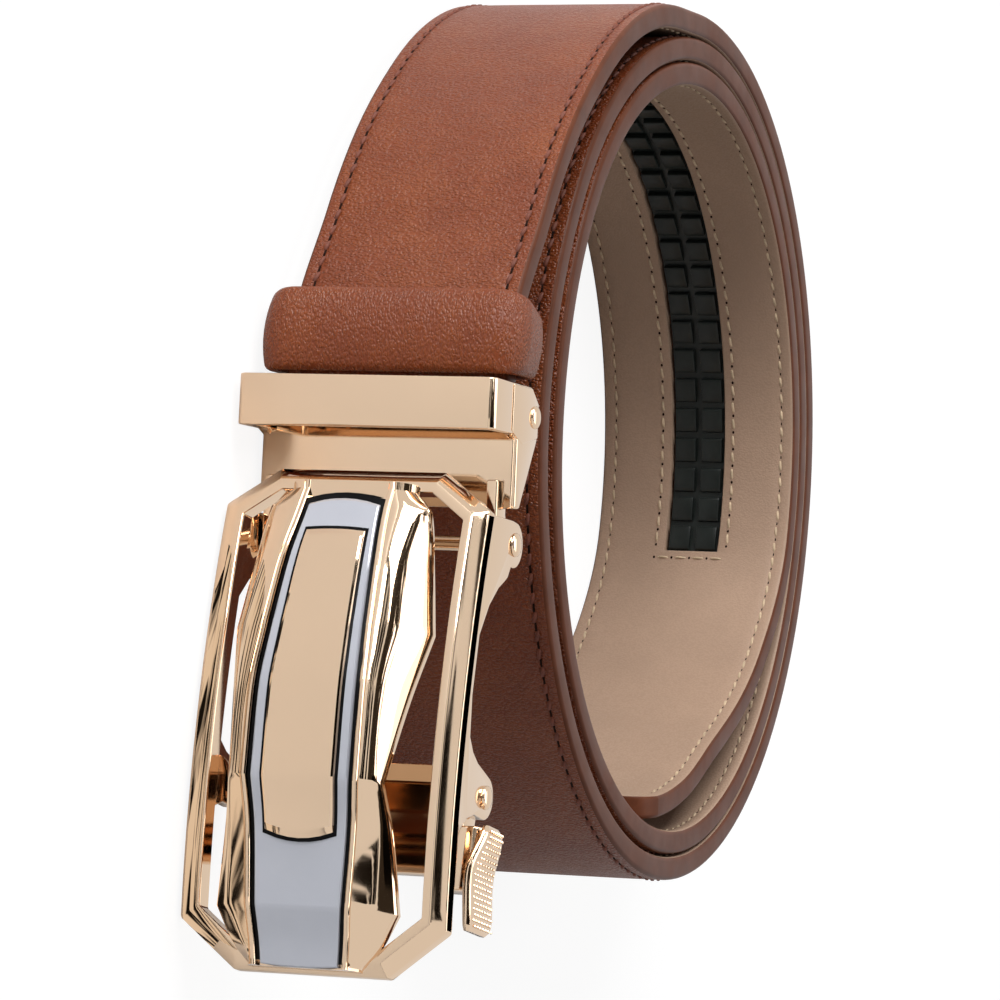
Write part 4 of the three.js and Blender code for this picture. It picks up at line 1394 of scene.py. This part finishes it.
def grain_group():
    """Leather grain: small pebbles with creases between them."""
    name = "Leather Grain"
    if name in bpy.data.node_groups:
        return bpy.data.node_groups[name]
    tree, start, end = group(name, [
        ("Vector", "NodeSocketVector", None), ("Cell Scale", "NodeSocketFloat", 1400.0)],
        [("Height", "NodeSocketFloat"), ("Mask", "NodeSocketFloat")])
    links = tree.links
    warp = node(tree, "ShaderNodeTexNoise", Scale=900.0, Detail=2.0)
    links.new(start.outputs["Vector"], warp.inputs["Vector"])
    centre = node(tree, "ShaderNodeVectorMath", operation="SUBTRACT")
    centre.inputs[1].default_value = (0.5, 0.5, 0.5)
    links.new(warp.outputs["Color"], centre.inputs[0])
    scaled = node(tree, "ShaderNodeVectorMath", operation="SCALE", Scale=0.0007)
    links.new(centre.outputs["Vector"], scaled.inputs[0])
    moved = node(tree, "ShaderNodeVectorMath", operation="ADD")
    links.new(start.outputs["Vector"], moved.inputs[0])
    links.new(scaled.outputs["Vector"], moved.inputs[1])
    cells = node(tree, "ShaderNodeTexVoronoi", feature="F1", Randomness=0.9)
    links.new(moved.outputs["Vector"], cells.inputs["Vector"])
    links.new(start.outputs["Cell Scale"], cells.inputs["Scale"])
    shape = ramp(tree, 0.22, 0.8)
    shape.inputs["To Min"].default_value = 1.0
    shape.inputs["To Max"].default_value = 0.0
    links.new(cells.outputs["Distance"], shape.inputs["Value"])
    shape.interpolation_type = "SMOOTHSTEP"
    fine = node(tree, "ShaderNodeTexNoise", Scale=4200.0, Detail=3.0)
    links.new(start.outputs["Vector"], fine.inputs["Vector"])
    broad = node(tree, "ShaderNodeTexNoise", Scale=260.0, Detail=2.0)
    links.new(start.outputs["Vector"], broad.inputs["Vector"])
    weight = ramp(tree, 0.3, 0.62)
    weight.inputs["To Min"].default_value = 0.6
    links.new(broad.outputs["Fac"], weight.inputs["Value"])
    deep = node(tree, "ShaderNodeMath", operation="MULTIPLY")
    links.new(shape.outputs["Result"], deep.inputs[0])
    links.new(weight.outputs["Result"], deep.inputs[1])
    total = node(tree, "ShaderNodeMath", operation="MULTIPLY_ADD")
    links.new(fine.outputs["Fac"], total.inputs[0])
    total.inputs[1].default_value = 0.2
    links.new(deep.outputs["Value"], total.inputs[2])
    links.new(total.outputs["Value"], end.inputs["Height"])
    links.new(shape.outputs["Result"], end.inputs["Mask"])
    return tree


def tone_group():
    """Two colours that drift into each other, darker still where Mask is low: painted shade in the
    grain's creases.
    """
    name = "Tone Drift"
    if name in bpy.data.node_groups:
        return bpy.data.node_groups[name]
    tree, start, end = group(name, [
        ("Vector", "NodeSocketVector", None), ("Patch Scale", "NodeSocketFloat", 60.0),
        ("Light", "NodeSocketColor", (1, 1, 1, 1)), ("Dark", "NodeSocketColor", (0, 0, 0, 1)),
        ("Mask", "NodeSocketFloat", 1.0), ("Mask Depth", "NodeSocketFloat", 0.3)],
        [("Color", "NodeSocketColor"), ("Amount", "NodeSocketFloat")])
    links = tree.links
    noise = node(tree, "ShaderNodeTexNoise", Detail=4.0, Roughness=0.6)
    links.new(start.outputs["Vector"], noise.inputs["Vector"])
    links.new(start.outputs["Patch Scale"], noise.inputs["Scale"])
    amount = ramp(tree, 0.3, 0.7)
    links.new(noise.outputs["Fac"], amount.inputs["Value"])
    # Where Mask is low, in the grain's creases, the colour moves towards Dark: painted shade in the
    # creases.
    crease = node(tree, "ShaderNodeMath", operation="SUBTRACT")
    crease.inputs[0].default_value = 1.0
    links.new(start.outputs["Mask"], crease.inputs[1])
    depth = node(tree, "ShaderNodeMath", operation="MULTIPLY")
    links.new(crease.outputs["Value"], depth.inputs[0])
    links.new(start.outputs["Mask Depth"], depth.inputs[1])
    both = node(tree, "ShaderNodeMath", operation="ADD", use_clamp=True)
    links.new(amount.outputs["Result"], both.inputs[0])
    links.new(depth.outputs["Value"], both.inputs[1])
    blend = node(tree, "ShaderNodeMix", data_type="RGBA")
    links.new(both.outputs["Value"], blend.inputs["Factor"])
    links.new(start.outputs["Light"], blend.inputs[6])
    links.new(start.outputs["Dark"], blend.inputs[7])
    links.new(blend.outputs[2], end.inputs["Color"])
    links.new(both.outputs["Value"], end.inputs["Amount"])
    return tree


def polish_group():
    """Faint wiping marks on a polished surface."""
    name = "Polish Marks"
    if name in bpy.data.node_groups:
        return bpy.data.node_groups[name]
    tree, start, end = group(name, [
        ("Vector", "NodeSocketVector", None), ("Smooth", "NodeSocketFloat", 0.05),
        ("Dull", "NodeSocketFloat", 0.14)],
        [("Roughness", "NodeSocketFloat"), ("Height", "NodeSocketFloat")])
    links = tree.links
    cloud = node(tree, "ShaderNodeTexNoise", Scale=70.0, Detail=5.0, Roughness=0.65)
    links.new(start.outputs["Vector"], cloud.inputs["Vector"])
    spread_out = ramp(tree, 0.35, 0.75)
    links.new(cloud.outputs["Fac"], spread_out.inputs["Value"])
    links.new(start.outputs["Smooth"], spread_out.inputs["To Min"])
    links.new(start.outputs["Dull"], spread_out.inputs["To Max"])
    links.new(spread_out.outputs["Result"], end.inputs["Roughness"])
    wave = node(tree, "ShaderNodeTexNoise", Scale=160.0, Detail=1.0)
    links.new(start.outputs["Vector"], wave.inputs["Vector"])
    links.new(wave.outputs["Fac"], end.inputs["Height"])
    return tree


def new_material(name):
    """A new material with its Principled shader and a source of coordinates."""
    material = bpy.data.materials.new(name)
    material.use_nodes = True
    tree = material.node_tree
    shader = tree.nodes["Principled BSDF"]
    where = tree.nodes.new("ShaderNodeTexCoord")
    return material, tree, shader, where


def placed_group(tree, group_tree, vector, **values):
    """A node group in a material, with its own values."""
    made = tree.nodes.new("ShaderNodeGroup")
    made.node_tree = group_tree
    tree.links.new(vector, made.inputs["Vector"])
    for key, value in values.items():
        made.inputs[key.replace("_", " ")].default_value = value
    return made


def bump(tree, shader, height, strength, distance):
    made = node(tree, "ShaderNodeBump", Strength=strength, Distance=distance * MM)
    tree.links.new(height, made.inputs["Height"])
    tree.links.new(made.outputs["Normal"], shader.inputs["Normal"])
    return made


def rgba(color, share=1.0):
    """The colour times a share, for a shader's socket."""
    return (color[0] * share, color[1] * share, color[2] * share, 1.0)


GRAIN_DEPTH = 0.24


def leather_material(name, light, dark, cell_scale, grain_strength, rough_low, rough_high, specular,
                     stretch=(1.0, 1.0, 1.0)):
    """Leather whose grain follows the strap's own length and width."""
    if name in bpy.data.materials:
        return bpy.data.materials[name]
    material, tree, shader, where = new_material(name)
    links = tree.links
    vector = where.outputs["UV"]
    mapping = node(tree, "ShaderNodeMapping", vector_type="POINT")
    mapping.inputs["Scale"].default_value = stretch
    links.new(vector, mapping.inputs["Vector"])
    grain = placed_group(tree, grain_group(), mapping.outputs["Vector"], Cell_Scale=cell_scale)
    tone = placed_group(tree, tone_group(), vector, Patch_Scale=45.0, Light=rgba(light),
                        Dark=rgba(dark), Mask_Depth=0.5)
    # The grain's creases take the darker tone: painted shade in the creases.
    links.new(grain.outputs["Mask"], tone.inputs["Mask"])
    links.new(tone.outputs["Color"], shader.inputs["Base Color"])
    rough = ramp(tree, 0.0, 1.0)
    rough.inputs["To Min"].default_value = rough_high
    rough.inputs["To Max"].default_value = rough_low
    links.new(grain.outputs["Mask"], rough.inputs["Value"])
    links.new(rough.outputs["Result"], shader.inputs["Roughness"])
    shader.inputs["Specular IOR Level"].default_value = specular
    bump(tree, shader, grain.outputs["Height"], grain_strength, GRAIN_DEPTH)
    return material


def face_leather():
    strap = strap_settings()
    return leather_material("Grained Brown Leather", strap.face_color, strap.face_shade, 2100.0,
                            0.8, 0.3, 0.42, 0.32, stretch=(1.15, 0.85, 1.0))


def keeper_leather():
    strap = strap_settings()
    return leather_material("Padded Brown Leather", strap.face_color, strap.face_shade, 2400.0, 0.6,
                            0.24, 0.36, 0.3, stretch=(0.85, 1.2, 1.0))


def lining_leather():
    strap = strap_settings()
    # Darker tan for the random drift, and for the painted shade in the grain's creases.
    dark = tuple(c * 0.86 for c in strap.lining_color)
    return leather_material("Smooth Tan Lining", strap.lining_color, dark, 2600.0, 0.16, 0.5, 0.62,
                            0.3)


def toned_material(name, light, dark, patch_scale, polish=None, relief=None, **values):
    """Colour that drifts between two tones, with wiping marks and their relief where asked for."""
    if name in bpy.data.materials:
        return bpy.data.materials[name]
    material, tree, shader, where = new_material(name)
    vector = where.outputs["Object"]
    tone = placed_group(tree, tone_group(), vector, Patch_Scale=patch_scale, Light=light, Dark=dark)
    tree.links.new(tone.outputs["Color"], shader.inputs["Base Color"])
    if polish:
        marks = placed_group(tree, polish_group(), vector, Smooth=polish[0], Dull=polish[1])
        tree.links.new(marks.outputs["Roughness"], shader.inputs["Roughness"])
        if relief:
            bump(tree, shader, marks.outputs["Height"], *relief)
    for key, value in values.items():
        shader.inputs[key.replace("_", " ")].default_value = value
    return material


def edge_paint():
    color = strap_settings().edge_color
    return toned_material("Painted Edge", rgba(color), rgba(color, 0.72), 220.0, polish=(0.3, 0.45),
                          relief=(0.35, 0.25), Specular_IOR_Level=0.09)


def thread_material(name, color):
    if name in bpy.data.materials:
        return bpy.data.materials[name]
    material = toned_material(name, rgba(color), rgba(color, 0.6), 900.0, Roughness=0.7)
    tree = material.node_tree
    where = tree.nodes.new("ShaderNodeTexCoord")
    fibres = node(tree, "ShaderNodeTexNoise", Scale=9000.0, Detail=2.0)
    tree.links.new(where.outputs["Object"], fibres.inputs["Vector"])
    bump(tree, tree.nodes["Principled BSDF"], fibres.outputs["Fac"], 0.5, 0.08)
    return material


# Near black for the needle holes: painted shade inside them.
def needle_hole_shade_material():
    return toned_material("Needle Hole", (0.02, 0.007, 0.004, 1), (0.008, 0.003, 0.002, 1), 600.0,
                          Roughness=0.9, Specular_IOR_Level=0.1)


def track_plastic():
    color = buckle_settings().track_color
    return toned_material("Black Moulded Plastic", rgba(color, 1.9), rgba(color), 300.0,
                          polish=(0.34, 0.5), relief=(0.2, 0.2), Specular_IOR_Level=0.3)


# Near black for the strips under the band and panel: painted shade in their grooves.
def groove_shade_black():
    return toned_material("Black Lacquer", (0.006, 0.006, 0.007, 1), (0.003, 0.003, 0.003, 1),
                          200.0, polish=(0.2, 0.35), Specular_IOR_Level=0.06)


def gold_metal():
    color = buckle_settings().gold_color
    return toned_material("Polished Rose Gold", rgba(color), rgba(color, 0.96), 40.0,
                          polish=(0.045, 0.1), relief=(0.03, 0.1), Metallic=1.0)


def enamel():
    color = buckle_settings().enamel_color
    return toned_material("Blue Grey Enamel", rgba(color), rgba(color, 0.93), 50.0,
                          polish=(0.1, 0.2), Metallic=0.35, Coat_Weight=0.8, Coat_Roughness=0.06)


# Studio


def make_camera():
    """The photograph's camera: beside the front of the belt, rolled a quarter turn."""
    studio = studio_settings()
    yaw, pitch, roll = (math.radians(d) for d in (20.35, 3.36, 2.79))
    place = Vector((0.0509, -0.7462, 0.2897))
    forward = Vector((0, math.cos(yaw), -math.sin(yaw)))
    right = Vector((0, math.sin(yaw), math.cos(yaw)))
    up = Vector((-1, 0, 0))
    ahead = forward * math.cos(pitch) + up * math.sin(pitch)
    up = up * math.cos(pitch) - forward * math.sin(pitch)
    across = right * math.cos(roll) + up * math.sin(roll)
    up = up * math.cos(roll) - right * math.sin(roll)
    camera_data = bpy.data.cameras.new("camera")
    camera_data.sensor_width = 36.0
    camera_data.lens = studio.focal_pixels * camera_data.sensor_width / 1000
    camera_data.clip_start, camera_data.clip_end = 0.05, 50
    camera = bpy.data.objects.new("camera", camera_data)
    turned = Matrix((across, up, -ahead)).transposed().to_4x4()
    camera.matrix_world = Matrix.Translation(place) @ turned
    bpy.context.scene.collection.objects.link(camera)
    bpy.context.scene.camera = camera


def soft_light(name, place, aim, size, power):
    data = bpy.data.lights.new(name, "AREA")
    data.shape = "RECTANGLE"
    data.size, data.size_y = size
    data.energy = power
    light = bpy.data.objects.new(name, data)
    light.location = place
    light.rotation_mode = "QUATERNION"
    light.rotation_quaternion = (Vector(aim) - Vector(place)).to_track_quat("-Z", "Y")
    bpy.context.scene.collection.objects.link(light)


def leave_own_light(shader, strength):
    """Lets a shader give only its own light."""
    shader.inputs["Base Color"].default_value = (0, 0, 0, 1)
    shader.inputs["Specular IOR Level"].default_value = 0.0
    shader.inputs["Emission Strength"].default_value = strength


def shade_material(name, color, strength):
    """An even dark card."""
    material, _, shader, _ = new_material(name)
    shader.inputs["Emission Color"].default_value = color
    leave_own_light(shader, strength)
    return material


def streak_material(name, dark, bright, strength, stretch, threshold, spill=0.0, lean=0.0):
    """Light and dark streaks; spill darkens the card's ends and lean its lower side."""
    material, tree, shader, where = new_material(name)
    links = tree.links
    mapping = node(tree, "ShaderNodeMapping", vector_type="POINT")
    mapping.inputs["Scale"].default_value = stretch
    links.new(where.outputs["Object"], mapping.inputs["Vector"])
    noise = node(tree, "ShaderNodeTexNoise", Scale=1.0, Detail=3.0, Roughness=0.55)
    links.new(mapping.outputs["Vector"], noise.inputs["Vector"])
    split = tree.nodes.new("ShaderNodeSeparateXYZ")
    links.new(where.outputs["Object"], split.inputs["Vector"])
    away = node(tree, "ShaderNodeMath", operation="ABSOLUTE")
    links.new(split.outputs["X"], away.inputs[0])
    total = node(tree, "ShaderNodeMath", operation="MULTIPLY_ADD")
    links.new(away.outputs["Value"], total.inputs[0])
    total.inputs[1].default_value = spill
    links.new(noise.outputs["Fac"], total.inputs[2])
    leaning = node(tree, "ShaderNodeMath", operation="MULTIPLY_ADD")
    links.new(split.outputs["Y"], leaning.inputs[0])
    leaning.inputs[1].default_value = -lean
    links.new(total.outputs["Value"], leaning.inputs[2])
    edge = ramp(tree, threshold - 0.03, threshold + 0.03)
    links.new(leaning.outputs["Value"], edge.inputs["Value"])
    blend = node(tree, "ShaderNodeMix", data_type="RGBA")
    links.new(edge.outputs["Result"], blend.inputs["Factor"])
    blend.inputs[6].default_value = bright
    blend.inputs[7].default_value = dark
    links.new(blend.outputs[2], shader.inputs["Emission Color"])
    leave_own_light(shader, strength)
    return material


def mirrored_card(name, place, aim, size, material):
    """A card that shows only in reflections."""
    half_x, half_y = size[0] / 2, size[1] / 2
    mesh = bpy.data.meshes.new(name)
    mesh.from_pydata([(-half_x, -half_y, 0), (half_x, -half_y, 0), (half_x, half_y, 0),
                      (-half_x, half_y, 0)], [], [(0, 1, 2, 3)])
    mesh.materials.append(material)
    card = bpy.data.objects.new(name, mesh)
    card.location = place
    card.rotation_mode = "QUATERNION"
    card.rotation_quaternion = (Vector(aim) - Vector(place)).to_track_quat("-Z", "Y")
    bpy.context.scene.collection.objects.link(card)
    card.visible_camera = False
    card.visible_diffuse = False
    card.visible_shadow = False


def make_world():
    """White where it is seen directly, softer in reflections and softer still as fill light."""
    studio = studio_settings()
    world = bpy.data.worlds.new("studio")
    world.use_nodes = True
    tree = world.node_tree
    tree.nodes.clear()
    seen = node(tree, "ShaderNodeBackground", Color=(1, 1, 1, 1), Strength=1.0)
    fill = node(tree, "ShaderNodeBackground", Color=(1, 1, 1, 1), Strength=studio.sky_strength)
    mirrored = node(tree, "ShaderNodeBackground", Color=(1, 1, 1, 1),
                    Strength=studio.mirror_strength)
    path = tree.nodes.new("ShaderNodeLightPath")
    blend = tree.nodes.new("ShaderNodeMixShader")
    unseen = tree.nodes.new("ShaderNodeMixShader")
    out = tree.nodes.new("ShaderNodeOutputWorld")
    tree.links.new(path.outputs["Is Camera Ray"], blend.inputs["Fac"])
    tree.links.new(path.outputs["Is Glossy Ray"], unseen.inputs["Fac"])
    tree.links.new(fill.outputs["Background"], unseen.inputs[1])
    tree.links.new(mirrored.outputs["Background"], unseen.inputs[2])
    tree.links.new(unseen.outputs["Shader"], blend.inputs[1])
    tree.links.new(seen.outputs["Background"], blend.inputs[2])
    tree.links.new(blend.outputs["Shader"], out.inputs["Surface"])
    bpy.context.scene.world = world


FLOOR_HALF = 6.0


def make_floor():
    """A pale floor that is nearly plain white where it is seen directly."""
    studio = studio_settings()
    half = FLOOR_HALF
    mesh = bpy.data.meshes.new("floor")
    mesh.from_pydata([(-half, -half, 0), (half, -half, 0), (half, half, 0), (-half, half, 0)], [],
                     [(0, 1, 2, 3)])
    floor = bpy.data.objects.new("floor", mesh)
    material, tree, shader, where = new_material("Pale Floor")
    tone = placed_group(tree, tone_group(), where.outputs["Object"], Patch_Scale=2.0,
                        Light=rgba(studio.floor_color), Dark=rgba(studio.floor_color, 0.99))
    tree.links.new(tone.outputs["Color"], shader.inputs["Base Color"])
    shader.inputs["Roughness"].default_value = 0.9
    shader.inputs["Specular IOR Level"].default_value = 0.0
    white = node(tree, "ShaderNodeEmission", Color=(1, 1, 1, 1), Strength=1.1)
    path = tree.nodes.new("ShaderNodeLightPath")
    share = node(tree, "ShaderNodeMath", operation="MULTIPLY")
    share.inputs[1].default_value = studio.floor_glow
    tree.links.new(path.outputs["Is Camera Ray"], share.inputs[0])
    blend = tree.nodes.new("ShaderNodeMixShader")
    tree.links.new(share.outputs["Value"], blend.inputs["Fac"])
    tree.links.new(shader.outputs["BSDF"], blend.inputs[1])
    tree.links.new(white.outputs["Emission"], blend.inputs[2])
    out = tree.nodes["Material Output"]
    tree.links.new(blend.outputs["Shader"], out.inputs["Surface"])
    mesh.materials.append(material)
    bpy.context.scene.collection.objects.link(floor)


def make_studio():
    studio = studio_settings()
    bpy.context.scene.view_settings.view_transform = "Standard"
    make_camera()
    make_world()
    make_floor()
    aim = (0.0, -0.03, 0.02)
    soft_light("key", (-1.1, -0.5, 0.6), aim, (0.8, 0.8), studio.key_power)
    soft_light("top", (0.0, 0.2, 1.3), aim, (1.2, 1.2), studio.key_power * 0.25)
    soft_light("front", (-0.75, -1.1, 0.16), aim, (0.5, 0.3), studio.key_power * 0.3)
    white, black, tan = (1, 1, 1, 1), (0.01, 0.008, 0.006, 1), (0.9, 0.82, 0.72, 1)
    softbox = streak_material("Torn Softbox", black, white, 3.5, (2.5, 14.0, 1.0), 0.505,
                              spill=0.25, lean=0.75)
    shade = shade_material("Dark Shade", black, 0.2)
    front = streak_material("Front Shade", black, white, 0.9, (2.0, 9.0, 1.0), 0.46)
    floor_streaks = streak_material("Floor Streaks", black, tan, 1.0, (30.0, 420.0, 1.0), 0.5)
    for name, place, aim, size, material in (
            ("softbox_card", (-0.3, -0.3, 0.9), (-0.3, -0.3, 0.0), (1.4, 0.9), softbox),
            ("overhead_card", (0.135, -0.3, 0.58), (0.135, -0.3, 0.0), (0.17, 0.11), shade),
            ("front_card", (-0.75, -1.0, 0.5), (-0.75, -0.09, 0.1), (1.8, 0.75), front),
            ("floor_card", (0.047, -0.0975, 0.0012), (0.047, -0.0975, 0.1), (0.062, 0.026),
             floor_streaks)):
        mirrored_card(name, place, aim, size, material)


# Operators


class BELT_OT_studio(bpy.types.Operator):
    """Adds the floor, light and camera"""

    bl_idname = "belt.studio"
    bl_label = "Studio"

    def execute(self, context):
        make_studio()
        return {"FINISHED"}


class BELT_OT_strap(bpy.types.Operator):
    """Builds the grained face leather and the smooth lining"""

    bl_idname = "belt.strap"
    bl_label = "Strap"

    def execute(self, context):
        make_strap_face()
        make_strap_lining()
        return {"FINISHED"}


class BELT_OT_seams(bpy.types.Operator):
    """Sews both faces of the strap"""

    bl_idname = "belt.seams"
    bl_label = "Seams"

    def execute(self, context):
        make_face_seams()
        make_lining_seams()
        return {"FINISHED"}


class BELT_OT_track(bpy.types.Operator):
    """Lays the ratchet track in the lining's window"""

    bl_idname = "belt.track"
    bl_label = "Ratchet Track"

    def execute(self, context):
        make_track()
        return {"FINISHED"}


class BELT_OT_keeper(bpy.types.Operator):
    """Builds the padded loop that keeps the tail"""

    bl_idname = "belt.keeper"
    bl_label = "Keeper Loop"

    def execute(self, context):
        make_keeper()
        return {"FINISHED"}


class BELT_OT_clip(bpy.types.Operator):
    """Builds the clip, its clamp flap and the rivets"""

    bl_idname = "belt.clip"
    bl_label = "Clip"

    def execute(self, context):
        make_clip()
        make_clamp()
        make_pins()
        return {"FINISHED"}


class BELT_OT_head(bpy.types.Operator):
    """Builds the buckle's head: rim, flanges, domed front, band and panel"""

    bl_idname = "belt.head"
    bl_label = "Buckle Head"

    def execute(self, context):
        make_rim()
        make_flanges()
        make_shield()
        make_band()
        make_panel()
        return {"FINISHED"}


class BELT_OT_pawl(bpy.types.Operator):
    """Builds the release pawl and its thumb lever"""

    bl_idname = "belt.pawl"
    bl_label = "Release Pawl"

    def execute(self, context):
        make_pawl()
        return {"FINISHED"}


class BELT_PT_panel(bpy.types.Panel):
    """Lists the belt's settings and steps"""

    bl_idname = "BELT_PT_panel"
    bl_label = "Ratchet Belt"
    bl_space_type = "VIEW_3D"
    bl_region_type = "UI"
    bl_category = "Belt"

    def draw(self, context):
        layout = self.layout
        for settings in (context.scene.belt_strap, context.scene.belt_buckle,
                         context.scene.belt_studio):
            box = layout.box()
            for key in settings.__annotations__:
                box.prop(settings, key)
        for step in STEPS:
            layout.operator(step.bl_idname)


STEPS = (BELT_OT_studio, BELT_OT_strap, BELT_OT_seams, BELT_OT_track, BELT_OT_keeper, BELT_OT_clip,
         BELT_OT_head, BELT_OT_pawl)
SETTINGS = (("belt_strap", StrapSettings), ("belt_buckle", BuckleSettings),
            ("belt_studio", StudioSettings))


def register():
    for name, settings in SETTINGS:
        bpy.utils.register_class(settings)
        setattr(bpy.types.Scene, name, bpy.props.PointerProperty(type=settings))
    for step in STEPS:
        bpy.utils.register_class(step)
    bpy.utils.register_class(BELT_PT_panel)


def unregister():
    bpy.utils.unregister_class(BELT_PT_panel)
    for step in reversed(STEPS):
        bpy.utils.unregister_class(step)
    for name, settings in reversed(SETTINGS):
        delattr(bpy.types.Scene, name)
        bpy.utils.unregister_class(settings)


def main():
    register()
    bpy.ops.belt.studio()
    bpy.ops.belt.strap()
    bpy.ops.belt.seams()
    bpy.ops.belt.track()
    bpy.ops.belt.keeper()
    bpy.ops.belt.clip()
    bpy.ops.belt.head()
    bpy.ops.belt.pawl()


if __name__ == "__main__":
    main()
